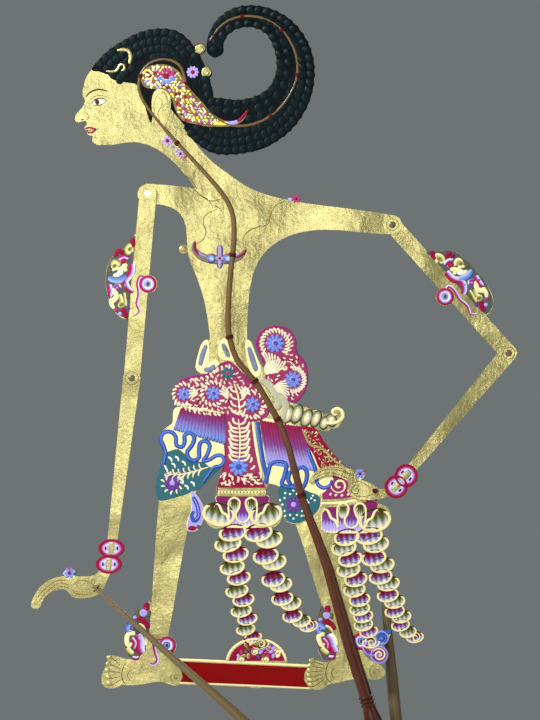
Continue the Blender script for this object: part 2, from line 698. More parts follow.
def cad_materials():
    """Every CAD node keeps its shape and gets its finish."""
    for name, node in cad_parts.items():
        if name in ("left_rod", "right_rod"):
            finish = M["pale_horn"]
        elif name == "main_rod":
            finish = M["horn"]
        elif name.startswith("binding") or name.endswith("thread"):
            finish = M["thread"]
        elif name == "left_shoulder_peg":
            finish = M["bone"]
        elif name.endswith("peg"):
            finish = M["dark_peg"]
        elif name.endswith("knot"):
            finish = M["cord"]
        elif name.endswith("washer"):
            finish = M["raw"]
        else:
            finish = M["gold"]
        node.data.materials.clear()
        node.data.materials.append(finish)


# ---- hair ------------------------------------------------------------------------------------
CROWN = ((-224, 542), (-214, 554), (-200, 563.5), (-187, 569.5), (-174, 571.5), (-162, 569.5),
         (-152, 561.5), (-143, 547), (-138, 533), (-136, 521))
CAP_FOOT = ((-136, 521), (-143, 507), (-160, 506), (-166, 518), (-178, 521), (-181, 503.5),
            (-186.5, 519), (-191, 530.5), (-198, 532.5), (-208, 534.5), (-215, 540.5), (-224, 542))
CURL_OUTER = ((-157, 499), (-150, 490.5), (-134, 481), (-112, 481.6), (-92, 488.5), (-76, 501.5),
              (-65.5, 520), (-62, 542), (-67, 562), (-80, 578.5), (-99, 587.5), (-119, 587),
              (-134, 576.5), (-140.5, 560))
CURL_INNER = ((-154, 512), (-147, 516), (-136, 521), (-118, 519.5), (-104, 522.5), (-94.5, 529),
              (-90, 538), (-89, 546), (-90.5, 556), (-96, 567.5), (-106, 573), (-117, 572.5),
              (-125.5, 567), (-129, 559))
CURL_TIP = ((-140.5, 560), (-139.5, 554.5), (-135, 551), (-130.5, 553), (-129, 559))
BEAD = 3.7


def rod_track():
    """Plane points of the main rod's surface above the neck."""
    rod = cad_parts["main_rod"]
    found = set()
    for vertex in rod.data.vertices:
        place = rod.matrix_world @ vertex.co
        if place.z > 0.48:
            found.add((round(place.x / MM), round(place.z / MM)))
    return found


ROD_TRACK = rod_track()
ROD_CLEAR = 3.0                  # beads this near the rod's track are pressed flat
ARM_REACH = 139.0                # the raised left arm passes over the hair within this distance


def hair_row(piece, edge, depth, keep):
    """A row of beads along an edge, at a depth from it."""
    line = curve(edge, step=0.5)
    run = 0.0
    pitch = BEAD * 1.72
    for i in range(1, len(line) - 1):
        run += math.dist(line[i], line[i - 1])
        if run < pitch:
            continue
        run -= pitch
        dx, dz = line[i + 1][0] - line[i - 1][0], line[i + 1][1] - line[i - 1][1]
        length = math.hypot(dx, dz)
        place = (line[i][0] + depth * dz / length, line[i][1] - depth * dx / length)
        if keep(place):
            lean = math.degrees(math.atan2(dz, dx)) + 35
            pressed = min(math.dist(place, other) for other in ROD_TRACK) < ROD_CLEAR
            # flatter where the raised left arm passes, and under the rod
            free = math.dist(place, LEFT_SHOULDER) > ARM_REACH
            tall = 0.35 if pressed else (1.15 if free else 0.54)
            piece.dome(place, BEAD, BEAD * 0.84, lean, M["hair"], base=0.12, height=tall, groove=0.1,
                       profile=((0, 1.0), (0.3, 0.95), (0.55, 0.78), (0.8, 0.46), (0.94, 0.2), (1, 0)))


def hair():
    """The black ground of the hair and the curls on it."""
    ground = Piece("hair_ground", CORE)
    cap = curve(CROWN + CAP_FOOT[1:-1], True)
    ground.wrap(cap, M["hair_base"], 0.15)
    ground.wrap(curve(CURL_OUTER) + curve(CURL_TIP)[1:-1] + curve(CURL_INNER)[::-1], M["hair_base"], 0.14)
    ground.make()
    beads = Piece("hair_beads", CORE)

    fan_edge = offset(counter_clockwise(curve(EAR_FAN, True)), 2.4)

    def on_cap(place):
        plain = -193 < place[0] < -143 and place[1] < 550
        return inside(place, cap) and not plain and not inside(place, fan_edge)

    for depth in (2.5, 8.5, 14.5, 20.5):
        hair_row(beads, CROWN, depth, on_cap)
    outer_line, inner_line = curve(CURL_OUTER, step=2), curve(CURL_INNER, step=2)

    def nearest(place, line):
        return min(math.dist(place, other) for other in line)

    for depth in (2.5, 8.5, 14.5):
        hair_row(beads, CURL_OUTER, -depth,
                 lambda place: nearest(place, outer_line) <= nearest(place, inner_line) + 1.2
                 and not inside(place, fan_edge))
        hair_row(beads, CURL_INNER, depth,
                 lambda place: nearest(place, inner_line) <= nearest(place, outer_line) - 2.4
                 and not inside(place, fan_edge))
    for place in ((-135, 556.5), (-133.5, 562)):
        beads.dome(place, 3.6, 3.2, 0, M["hair"], base=0.12, height=0.6, groove=0.1)
    beads.make()
    strands = Piece("hair_strands", CORE)
    for k in range(5):
        shift = 2.6 * k
        strands.stroke([(-188 + shift, 536 - shift), (-186 + shift, 545 - shift * 0.4),
                        (-172, 551.5 - shift * 0.9), (-158, 546 - shift * 0.6)], 0.9, M["hair"],
                       base=0.1, height=0.22)
    for k in range(6):
        strands.stroke([(-152 + 2.4 * k, 550 - 4 * k), (-153.5 + 2.6 * k, 534 - 2 * k),
                        (-149 + 2.2 * k, 520 - k)], 0.9, M["hair"], base=0.1, height=0.22)
    strands.make()


# ---- face ------------------------------------------------------------------------------------
FACE_ANCHOR = (-224.0, 542.0)
FACE_LEAN = math.radians(12)
FACE_SCALE = 0.93


def on_face(*places):
    """(forward, down) from the hairline to the plane."""
    found = []
    for forward, down in places:
        ahead, below = forward * FACE_SCALE, down * FACE_SCALE
        found.append((FACE_ANCHOR[0] - ahead * math.cos(FACE_LEAN) + below * math.sin(FACE_LEAN),
                      FACE_ANCHOR[1] - ahead * math.sin(FACE_LEAN) - below * math.cos(FACE_LEAN)))
    return found


def face():
    piece = Piece("face_drawing", CORE)
    piece.stroke(on_face((9.2, 19.8), (4.5, 16.9), (-2, 16.4), (-8.5, 19.2)), 1.3, M["ink"], 0.0, 0.3,
                 (0.5, 0.1))
    lid = on_face((6.4, 26.8), (3.8, 24.2), (0, 23.2), (-3.6, 24.2), (-6.4, 26.2))
    low = on_face((6.4, 26.8), (3.4, 28.3), (0, 28.5), (-3.4, 27.8), (-6.4, 26.2))
    middle = on_face((0, 26))[0]
    piece.dome(middle, 5.4, 2.1, 13, M["white"], base=0.0, height=0.16)
    piece.dome(on_face((1.4, 25.9))[0], 2.05, 2.05, 0, M["ink"], base=0.08, height=0.22)
    piece.stroke(lid, 0.8, M["ink"], 0.05, 0.25, (0.4, 0.3))
    piece.stroke(low, 0.5, M["rub"], 0.05, 0.2, (0.4, 0.3))
    piece.stroke(on_face((7.0, 24.4), (4.2, 21.7), (0, 20.9), (-4.4, 22.1), (-7.2, 24.4)), 0.45, M["rub"],
                 0.0, 0.2)
    piece.stroke(on_face((12.4, 31.8), (10.4, 34.4), (11, 37.2), (13.2, 37.7)), 0.55, M["rub"], 0.0, 0.22)
    piece.dome(on_face((15.6, 36.9))[0], 1.2, 0.6, 12, M["ink"], base=0.0, height=0.14)
    upper = on_face((14.9, 44.6), (12.6, 44.0), (9.4, 45.1), (6.2, 46.7))
    piece.stroke(upper, 1.5, M["crimson"], 0.0, 0.26, (0.7, 0.1))
    piece.stroke(on_face((13.9, 47.8), (11.2, 48.3), (8.6, 47.7), (6.4, 46.9)), 1.5, M["crimson"], 0.0, 0.24,
                 (0.7, 0.1))
    piece.stroke(on_face((14.4, 46.1), (10.8, 46.3), (7.2, 46.7), (4.6, 46.3)), 0.45, M["ink"], 0.16, 0.14)
    piece.stroke(on_face((10.6, 51.8), (8.6, 52.6), (7.6, 54.2)), 0.4, M["rub"], 0.0, 0.18)
    piece.make()
    ear = Piece("ear", CORE)
    ear.wrap(curve([(-180.5, 517), (-179, 525), (-174, 528.5), (-168.5, 526), (-166.5, 518), (-168, 508),
                    (-171, 500), (-174.5, 497), (-177.5, 500), (-179.5, 508)], True), M["leaf"], 0.3)
    ear.stroke([(-178, 504), (-179, 516), (-176.5, 524), (-171.5, 525), (-169, 519), (-171, 513),
                (-174, 512)], 1.1, M["leaf"], 0.3, 0.3)
    ear.stroke([(-175.5, 521), (-173, 520), (-173.5, 515), (-176, 510), (-174, 503)], 0.6, M["rub"],
               0.3, 0.16)
    ear.make()


# ---- head ornaments --------------------------------------------------------------------------
EAR_FAN = ((-188, 533), (-187, 541), (-180, 545), (-170, 545.5), (-161, 541), (-155.5, 532),
           (-150, 525), (-143, 517.5), (-137, 510.5), (-128, 505), (-118, 504.6), (-112.5, 510.5),
           (-110, 512.5), (-113, 506), (-119, 501.5), (-128, 500.4), (-140, 500.6), (-150, 502.5),
           (-158, 505), (-163, 512), (-166, 521), (-172, 527), (-180, 528), (-185, 529))


def leafy(piece, outline, pitch, colours, chance, base):
    """Small carved leaves all over a region, in rows."""
    xs = [x for x, z in outline]
    zs = [z for x, z in outline]
    row = 0
    z = min(zs) + pitch / 2
    while z < max(zs):
        x = min(xs) + (pitch / 2 if row % 2 else pitch)
        while x < max(xs):
            place = (x + chance.uniform(-0.4, 0.4), z + chance.uniform(-0.4, 0.4))
            if inside(place, outline):
                piece.dome(place, pitch * 0.56, pitch * 0.36, chance.uniform(0, 180),
                           M[chance.choice(colours)], base=base, height=0.3, segments=10)
            x += pitch
        z += pitch * 0.8
        row += 1


def head_ornaments():
    chance = random.Random(11)
    piece = Piece("ear_ornament", CORE)
    outline = curve(EAR_FAN, True)
    piece.wrap(outline, M["mosaic"], 0.32, 0.1, edge=M["leaf"])
    left_part = [place for place in offset(outline, -0.9) if place[0] < -131]
    leafy(piece, left_part, 2.7, ["cream", "leaf", "cream", "leaf", "rose", "yellow", "crimson", "lilac"],
          chance, 0.38)
    piece.stroke([(-137, 503), (-130, 502.6), (-125, 502.6)], 3.4, M["yellow"], 0.34, 0.2)
    piece.stroke([(-127, 502.6), (-121, 503), (-116.5, 504.6)], 3.0, M["lilac"], 0.36, 0.22)
    piece.stroke([(-118, 504), (-114, 507.5), (-110, 512.5)], 2.2, M["crimson"], 0.38, 0.22, (0.9, 0.1))
    centre = (-170, 537)
    for turn in (200, 245, 290, 335):
        piece.dome(polar(centre, 4.6, turn), 2.7, 1.9, turn, M["sky"], base=0.45, height=0.35)
    for turn in (20, 65, 110, 155):
        piece.dome(polar(centre, 4.4, turn), 2.6, 1.7, turn, M["rose" if turn % 90 else "lilac"],
                   base=0.45, height=0.35)
    piece.dome(centre, 2.4, 2.2, 0, M["crimson"], base=0.6, height=0.4)
    for k in range(7):
        head_point = polar((-176, 536), 9.4, 95 + 24 * k)
        piece.comma(head_point, polar((-176, 536), 5.6, 100 + 24 * k), 2.1, M["cream"], base=0.42)
    piece.make()
    flowers = Piece("head_flowers", CORE)
    flowers.dome((-150.5, 540), 4.6, 4.6, 0, M["lilac"], base=0.1, height=0.35)
    flowers.flower((-150.5, 540), 4.7, 10, M["lilac"], M["crimson"], 0.35, heart=0.4)
    for centre, radius in (((-169, 490), 4.1), ((-159.5, 480.5), 3.0)):
        flowers.flower(centre, radius, 8, M["lilac"], M["crimson"], 0.05, heart=0.42)
    for place, colour in (((-165.5, 485.5), "sky"), ((-163, 488), "rose"), ((-156, 478), "rose"),
                          ((-162.5, 483), "lilac")):
        flowers.dome(place, 1.5, 1.1, 40, M[colour], base=0.0, height=0.3)
    flowers.make()
    scrolls = Piece("gold_scrolls", CORE)
    scrolls.stroke([(-206, 556), (-201.5, 556.6), (-197.5, 555.6), (-196, 551.5), (-197, 546)], 3.2,
                   M["leaf"], 0.2, 0.66, (0.3, 0.5))
    scrolls.stroke([(-214, 540.8), (-209, 540.6), (-206, 541.5), (-203.5, 545.5), (-200.8, 545.2),
                    (-200.8, 542), (-203, 541)], 2.2, M["leaf"], 0.2, 0.66)
    for centre, start in (((-145.5, 557), 100), ((-140.8, 540), -40)):
        scrolls.dome(centre, 4.8, 3.9, start - 70, M["leaf"], base=0.0, height=0.35)
        scrolls.stroke(spiral(centre, 3.4, 0.8, start, 1.4), 1.2, M["leaf"], 0.25, 0.3)
    scrolls.make()


# ---- torso -----------------------------------------------------------------------------------
STAR = (-130.8, 404.2)           # middle of the star on the neck pendant


def torso():
    """Drawn lines of the chest and what is worn on it."""
    lines = Piece("torso_lines", CORE)
    for points in (((-133, 440), (-141, 436), (-143, 430), (-141, 424), (-143, 418), (-149.5, 414)),
                   ((-82, 446), (-90, 443), (-94, 435), (-96, 429), (-103, 427), (-110, 424),
                    (-114, 418), (-112.5, 411)),
                   ((-150, 455), (-143.5, 449), (-136.5, 446), (-129, 448)),
                   ((-146.5, 451.5), (-139, 446.5), (-136, 441)),
                   ((-158, 466), (-152.5, 462), (-147.5, 455))):
        lines.stroke(points, 0.7, M["rub"], 0.0, 0.22, (0.3, 0.3))
    lines.stroke([(-135, 443), (-131, 440.5)], 0.8, M["rub"], 0.0, 0.2)
    for centre, radius in ((LEFT_SHOULDER, 4.9), (RIGHT_SHOULDER, 4.3)):
        ring = [polar(centre, radius, 30 * k) for k in range(12)]
        lines.stroke(ring, 0.5, M["rub"], 0.0, 0.16, closed=True)
    lines.make()
    pendant = Piece("crescent_pendant", CORE)
    pendant.stroke([(-149, 417), (-149.5, 411), (-145, 406), (-138, 403.4), (-130.7, 402.8), (-123, 403.2),
                    (-116, 405.4), (-111.6, 410.8)], 6.6, M["dusk"], 0.0, 0.3, (0.05, 0.05))
    pendant.stroke([(-148.8, 416.6), (-149.2, 411.4), (-146.2, 407.2)], 2.2, M["crimson"], 0.2, 0.3,
                   (0.2, 0.5))
    pendant.stroke([(-112, 410.4), (-114, 407.2), (-118.4, 404.8)], 2.0, M["crimson"], 0.2, 0.3, (0.2, 0.5))
    pendant.stroke([(-146.6, 408.6), (-143, 406.2), (-140.2, 405.6)], 1.1, M["lilac"], 0.25, 0.25)
    pendant.stroke([(-121.6, 405.2), (-118.4, 406.4), (-116.4, 407.6)], 1.1, M["lilac"], 0.25, 0.25)
    for turn, reach in ((90, 10.2), (270, 7.6), (0, 4.2), (180, 4.2)):
        for tone, width, low in (("purple", 4.6, 0.15), ("star", 3.2, 0.3)):
            tip = polar(STAR, reach, turn)
            pendant.stroke([STAR, between(STAR, tip, 0.4), tip], width, M[tone], low, 0.35, (0.9, 0.05))
    for place in ((-136.8, 404.0), (-125.0, 404.0)):
        pendant.dome(place, 4.0, 3.8, 0, M["wine"], base=0.2, height=0.2)
        pendant.dome(place, 3.3, 3.1, 0, M["gem"], base=0.36, height=0.6)
    pendant.dome(STAR, 1.2, 1.2, 0, M["crimson"], base=0.5, height=0.35)
    pendant.make()
    trim = Piece("shoulder_flower", CORE)
    trim.flower((-75, 447.5), 3.2, 6, M["rose"], M["crimson"], 0.0)
    trim.dome((-79.5, 447.2), 1.8, 1.3, 0, M["lilac"], base=0.0, height=0.3)
    trim.dome((-157.6, 410.8), 3.3, 3.1, 0, M["leaf"], base=0.0, height=0.5)
    trim.stroke(spiral((-157.6, 410.8), 2.3, 0.6, 0, 1.0), 0.6, M["rub"], 0.35, 0.2)
    trim.make()


# ---- hips ------------------------------------------------------------------------------------
def comma_ring(piece, centre, radius, start, end, count, length=3.0, width=1.9, lean=18):
    """Comma strokes round a centre, with their tails swept back."""
    for k in range(count):
        around = start + (end - start) * k / max(count - 1, 1)
        piece.comma(polar(centre, radius, around), polar(centre, radius - length, around - lean), width,
                    M["petal"], base=0.24)


def fan(piece, foot, reach, start, end, count, width=1.5, bend=0.14, base=0.24):
    """Comma strokes that spread from one foot."""
    for k in range(count):
        around = start + (end - start) * k / max(count - 1, 1)
        piece.comma(polar(foot, reach, around), foot, width, M["petal"], bend=bend, base=base)


def blue_heart(piece, centre, radius, petals=8):
    """A blue flower with a small spiral in the middle."""
    piece.dome(centre, radius, radius, 0, M["blue"], base=0.18, height=0.25)
    piece.flower(centre, radius * 1.02, petals, M["heart"], M["blue"], 0.28, heart=0.3)
    piece.stroke(spiral(centre, radius * 0.36, radius * 0.1, 40, 0.9), radius * 0.14, M["lilac"], 0.5, 0.2)


def rosette(piece, centre, radius, petals, start=0, end=330, count=12, spread=1.62):
    """A blue heart with an arc of comma strokes round it."""
    blue_heart(piece, centre, radius * 0.95, petals)
    comma_ring(piece, centre, radius * spread, start, end, count, radius * 0.5)


def scatter(piece, outline, count, clear, width, chance, base, tone="petal"):
    """Short brush strokes spread over a region, leaving some discs of it clear."""
    xs, zs = [x for x, z in outline], [z for x, z in outline]
    placed = []
    for _ in range(count * 40):
        if len(placed) >= count:
            break
        place = (chance.uniform(min(xs), max(xs)), chance.uniform(min(zs), max(zs)))
        crowded = any(math.dist(place, other) < width * 2.0 for other in placed)
        covered = any(math.dist(place, centre) < radius for centre, radius in clear)
        if crowded or covered or not inside(place, outline):
            continue
        placed.append(place)
        centre, radius = min(clear, key=lambda disc: math.dist(place, disc[0]) - disc[1])
        aim = math.degrees(math.atan2(centre[1] - place[1], centre[0] - place[0])) + 30
        piece.comma(polar(place, -width, aim), polar(place, width * 1.1, aim), width, M[tone], base=base)


def sash_knot():
    """The gathered cloth at the waist: rose lobes with blue hearts and cream strokes."""
    left = ((-165, 305), (-161.5, 313.5), (-154, 317.5), (-140, 320.5), (-130, 327.5), (-123, 328.5),
            (-114, 320), (-106, 313), (-99, 306), (-94.5, 297), (-96.5, 289), (-104, 285.5),
            (-112, 285.5), (-119, 288.5), (-128, 288), (-145, 288.5), (-158, 294.5))
    right = ((-104.5, 342), (-100.5, 351), (-91, 355), (-81, 352.5), (-75.5, 345), (-74.5, 336),
             (-68, 327), (-66.5, 315), (-70, 305), (-76.5, 299), (-86, 304), (-97, 312), (-97.5, 322),
             (-101, 332))
    piece = Piece("waist_cloth", CORE)
    for outline in (left, right):
        line = curve(outline, True)
        piece.wrap(line, M["cloth"], 0.22, edge=M["crimson"])
        piece.stroke(offset(counter_clockwise(line), -0.6)[::2], 1.5, M["magenta"], 0.18, 0.26, closed=True)
    piece.make()
    detail = Piece("waist_rosettes", CORE)
    chance = random.Random(8)
    hearts = [((-157, 305), 8.0), ((-135.5, 305.5), 9.5), ((-106.8, 297.5), 8.5), ((-125, 320.5), 6.5),
              ((-118, 303), 7.5)]
    scatter(detail, offset(counter_clockwise(curve(left, True)), -2.6), 70, hearts, 1.25, chance, 0.24)
    hearts = [((-90.5, 342), 11.5), ((-77.5, 315.5), 10.0), ((-93, 325), 8.0)]
    scatter(detail, offset(counter_clockwise(curve(right, True)), -2.6), 34, hearts, 1.25, chance, 0.24)
    for rim, centre in ((((-163, 297), (-152, 292), (-141, 290), (-130, 289.5)), (-146, 320)),
                        (((-119, 290.5), (-110, 287.5), (-101, 288), (-97.5, 296)), (-110, 305)),
                        (((-152, 316), (-141, 318.5), (-133, 324.5), (-124, 326.8)), (-140, 300))):
        edge = curve(rim, step=3.4)
        for x, z in edge:
            aim = math.degrees(math.atan2(centre[1] - z, centre[0] - x))
            detail.comma((x, z), polar((x, z), 3.4, aim + 24), 1.7, M["petal"], base=0.24)
    for points in (((-147.5, 316), (-145.5, 306), (-148, 296)),
                   ((-123.5, 314), (-124.6, 303), (-121.5, 292))):
        detail.stroke(points, 1.1, M["crimson"], 0.22, 0.3, (0.3, 0.3))
    rosette(detail, (-157, 305), 5.2, 8, 70, 300, 11)
    fan(detail, (-146.5, 305), 7.4, 140, 220, 5)
    rosette(detail, (-135.5, 305.5), 5.8, 8, 40, 330, 14)
    comma_ring(detail, (-147, 304), 9.5, 50, 100, 3)
    comma_ring(detail, (-146, 305), 12.5, 228, 300, 5)
    fan(detail, (-124.5, 301), 9.5, 105, 150, 4)
    rosette(detail, (-106.8, 297.5), 6.0, 8, -60, 120, 7)
    fan(detail, (-114.5, 302), 9.0, 60, 110, 4)
    detail.stroke([(-120.5, 313), (-117.5, 304), (-116, 291)], 1.3, M["cream"], 0.24, 0.3, (0.3, 0.9))
    for k in range(4):
        z = 309 - 5.2 * k
        detail.comma((-123.4 + 0.3 * k, z + 1.8), (-117.6, z - 2.8), 1.7, M["petal"], bend=-0.2, base=0.24)
        detail.comma((-112.6 + 0.2 * k, z + 1.2), (-116.6, z - 3.4), 1.7, M["petal"], bend=0.2, base=0.24)
    rosette(detail, (-90.5, 342), 7.4, 10, -30, 225, 17, 1.5)
    fan(detail, (-97.5, 320), 15.5, 26, 100, 9, 1.5, 0.16)
    fan(detail, (-97, 319), 9.0, 10, 84, 6, 1.3, -0.16)
    rosette(detail, (-77.5, 315.5), 6.8, 10, -85, 100, 14, 1.45)
    fan(detail, (-93, 307.5), 13.0, -26, 34, 7, 1.5, -0.14)
    detail.stroke([(-98, 329), (-88, 331), (-80, 329), (-73, 331)], 1.2, M["crimson"], 0.22, 0.3, (0.3, 0.3))
    comma_ring(detail, (-88, 325), 6.5, -10, 200, 5)
    centre, radius = (-125, 320.5), 5.2
    detail.dome(centre, radius, radius, 0, M["teal"], base=0.2, height=0.25)
    detail.flower(centre, radius, 7, M["teal"], M["rose"], 0.3, heart=0.36)
    comma_ring(detail, centre, radius * 1.02, 0, 315, 7, 2.0, 1.0)
    detail.make()
    scroll = Piece("waist_scrolls", CORE)
    left_scroll = curve(((-148.3, 325), (-146, 336), (-142.5, 343.5), (-139.2, 344), (-138.2, 336),
                         (-138.4, 328), (-134, 330.5), (-131, 327), (-134, 321.5), (-140, 320),
                         (-145.5, 321)), True)
    right_scroll = curve(((-112, 343), (-108.5, 343.5), (-104.5, 334), (-100.5, 323), (-103, 317.5),
                          (-107, 319.5), (-110.5, 328)), True)
    small = curve(((-131.8, 334), (-131, 342), (-128, 345.5), (-124.5, 344), (-122, 336), (-120.5, 329.5),
                   (-124.5, 330), (-128, 330)), True)
    for outline in (left_scroll, right_scroll, small):
        scroll.wrap(outline, M["cream"], 0.34, 0.15)
    for points in (((-145.2, 326), (-143.3, 334), (-140.6, 341)), ((-142.5, 323.2), (-138, 323),
                   (-134.5, 326.5))):
        scroll.stroke(points, 4.2, M["mist"], 0.34, 0.2, (0.5, 0.3))
        scroll.stroke(points, 1.0, M["heart"], 0.46, 0.2, (0.5, 0.3))
    scroll.stroke([(-109.8, 339.5), (-107, 331), (-104.2, 322)], 4.6, M["mist"], 0.34, 0.2, (0.3, 0.6))
    scroll.stroke([(-109.6, 339.5), (-106.5, 331), (-103.8, 322.5)], 1.0, M["heart"], 0.46, 0.2, (0.3, 0.6))
    scroll.stroke([(-128.8, 342), (-126, 336), (-124, 332)], 4.2, M["mist"], 0.34, 0.2)
    scroll.stroke([(-127, 339.5), (-125, 336)], 1.2, M["magenta"], 0.42, 0.22)
    scroll.stroke(spiral((-128.4, 333.4), 2.7, 0.7, 60, 1.2), 1.1, M["cream"], 0.4, 0.35)
    scroll.make()


def horn_belt():
    """Bulges of the bubbly belt end, each with a fold beside it, and its curled tip."""
    piece = Piece("bubble_horn", CORE)
    for points, width in ((((-101, 316), (-94, 311), (-88, 301), (-90, 294)), 6.6),
                          (((-93, 306), (-85, 301.5), (-82.5, 294), (-86, 287)), 6.4)):
        piece.stroke(points, width, M["bubble_fold"], 0.1, 0.5, (0.4, 0.8))
    bulges = ((-81.5, 290, 4.3, 7.4, -22), (-74.5, 290.5, 4.0, 7.4, -22), (-67.4, 287.5, 3.9, 6.9, -24),
              (-60.6, 287, 3.5, 6.6, -24), (-54.6, 284, 3.2, 5.0, -20), (-49.4, 286, 3.9, 4.8, 20))
    for x, z, wide, high, turn in bulges:
        piece.lobe((x, z), wide, high, turn, M["bubble"], lift=0.3, tilt=0.0, segments=24, rim=0.5)
        piece.comma((x + 0.6, z + high * 0.5), (x - 0.3, z - high * 0.45), wide * 0.75, M["petal"],
                    bend=0.12, base=0.25, height=0.34)
    piece.stroke([(-53, 284), (-46, 284.4), (-41.2, 288), (-41.6, 292.6), (-45.4, 294.6), (-48.6, 292.6),
                  (-47.4, 290), (-45, 290.6)], 2.6, M["cream"], 0.1, 0.5, (0.9, 0.3))
    piece.make()


def pleats(piece, top_start, top_end, foot_start, foot_end, count, paint_name):
    """Round pleats side by side."""
    for k in range(count):
        t = (k + 0.5) / count
        top, foot = between(top_start, top_end, t), between(foot_start, foot_end, t)
        middle = between(top, foot, 0.5)
        width = math.dist(top_start, top_end) * 0.5 + math.dist(foot_start, foot_end) * 0.5
        piece.stroke([top, middle, foot], width / count * 1.22, M[paint_name],
                     0.16, 0.34, (0.9, 0.9))


def left_flap():
    """Thigh cloth on the left."""
    ground = Piece("left_thigh_cloth", CORE)
    line = curve(((-161, 297), (-166.5, 283), (-173.5, 277), (-174.5, 270), (-172.5, 262), (-174, 252),
                  (-177, 243), (-177.5, 236), (-175, 227.8), (-163, 229.8), (-150, 234.2), (-144.5, 237),
                  (-136, 246), (-128, 255), (-126, 270), (-125.5, 291)), True)
    ground.wrap(line, M["teal"], 0.14)
    band = curve(((-161, 296), (-166, 284), (-172, 277), (-172.5, 270), (-170, 263), (-161, 264.5),
                  (-152, 257), (-143, 255), (-136, 251), (-128.5, 255), (-126.4, 270), (-126, 290)), True)
    ground.wrap(band, M["cream"], 0.24, 0.0, edge=M["leaf"])
    ground.make()
    cloth = Piece("left_pleats", CORE)
    pleats(cloth, (-159, 295.5), (-126.5, 290.5), (-165, 279), (-126.5, 268), 15, "pleat_left")
    cloth.make()
    blue = Piece("left_blue_border", CORE)
    wave = ((-172.5, 252), (-170.5, 262), (-172, 268), (-174, 272.5), (-171.5, 277), (-166.5, 277.5),
            (-163, 274), (-162.5, 268), (-158.5, 266.5), (-156.5, 270), (-156.5, 275), (-152.5, 276.8),
            (-149.4, 273.5), (-151, 268), (-154.6, 263), (-153.5, 258.5), (-149.6, 256.6), (-146, 259),
            (-146, 264), (-145, 269.4), (-141.2, 270.8), (-138.2, 267.6), (-140, 261), (-143, 256.5),
            (-139, 257), (-133.4, 260.2), (-129.4, 260), (-127.6, 256.6), (-130, 253), (-135.5, 251.5),
            (-139.5, 246), (-143.5, 240.5))
    blue.stroke(wave, 3.6, M["blue"], 0.2, 0.5, (0.7, 0.5))
    blue.stroke(wave, 0.8, M["sky"], 0.5, 0.22, (0.6, 0.4))
    for centre, wide, high, turn in (((-168.4, 272.3), 3.5, 3.2, 0), ((-152.8, 272.6), 2.2, 3.0, 20),
                                     ((-149.8, 261.4), 1.9, 2.8, -15), ((-142, 267), 2.1, 2.8, 12),
                                     ((-132.8, 255.6), 3.2, 1.9, 10)):
        blue.dome(centre, wide, high, turn, M["cream"], base=0.14, height=0.3)
    blue.make()
    sprig = Piece("left_sprigs", CORE)
    stem = ((-170, 247), (-160, 246.5), (-150, 248.5), (-138.5, 252))
    sprig.stroke(stem, 1.1, M["cream"], 0.26, 0.26, (0.4, 0.4))
    for k in range(7):
        t = 0.12 + 0.12 * k
        foot = curve(stem)[int(t * (len(curve(stem)) - 1))]
        sprig.comma((foot[0] - 2.6, foot[1] - 5.2), foot, 1.4, M["petal"], 0.2, base=0.26)
        sprig.comma((foot[0] - 2.2, foot[1] + 4.0), foot, 1.3, M["petal"], -0.2, base=0.26)
    for x, z in ((-167, 257), (-162, 257.5), (-157, 254), (-164.5, 252.5), (-171, 251), (-155, 236.5),
                 (-150.5, 239), (-158.5, 241)):
        sprig.comma((x - 1.5, z + 2.0), (x + 1.2, z - 1.6), 1.5, M["white"], 0.25, base=0.26)
    flower = (-165.5, 240.2)
    sprig.flower(flower, 6.4, 9, M["purple"], M["lilac"], 0.26)
    for k in range(11):
        sprig.comma(polar(flower, 8.6, 33 * k), polar(flower, 5.6, 33 * k + 12), 1.5, M["petal"], base=0.3)
    sprig.make()


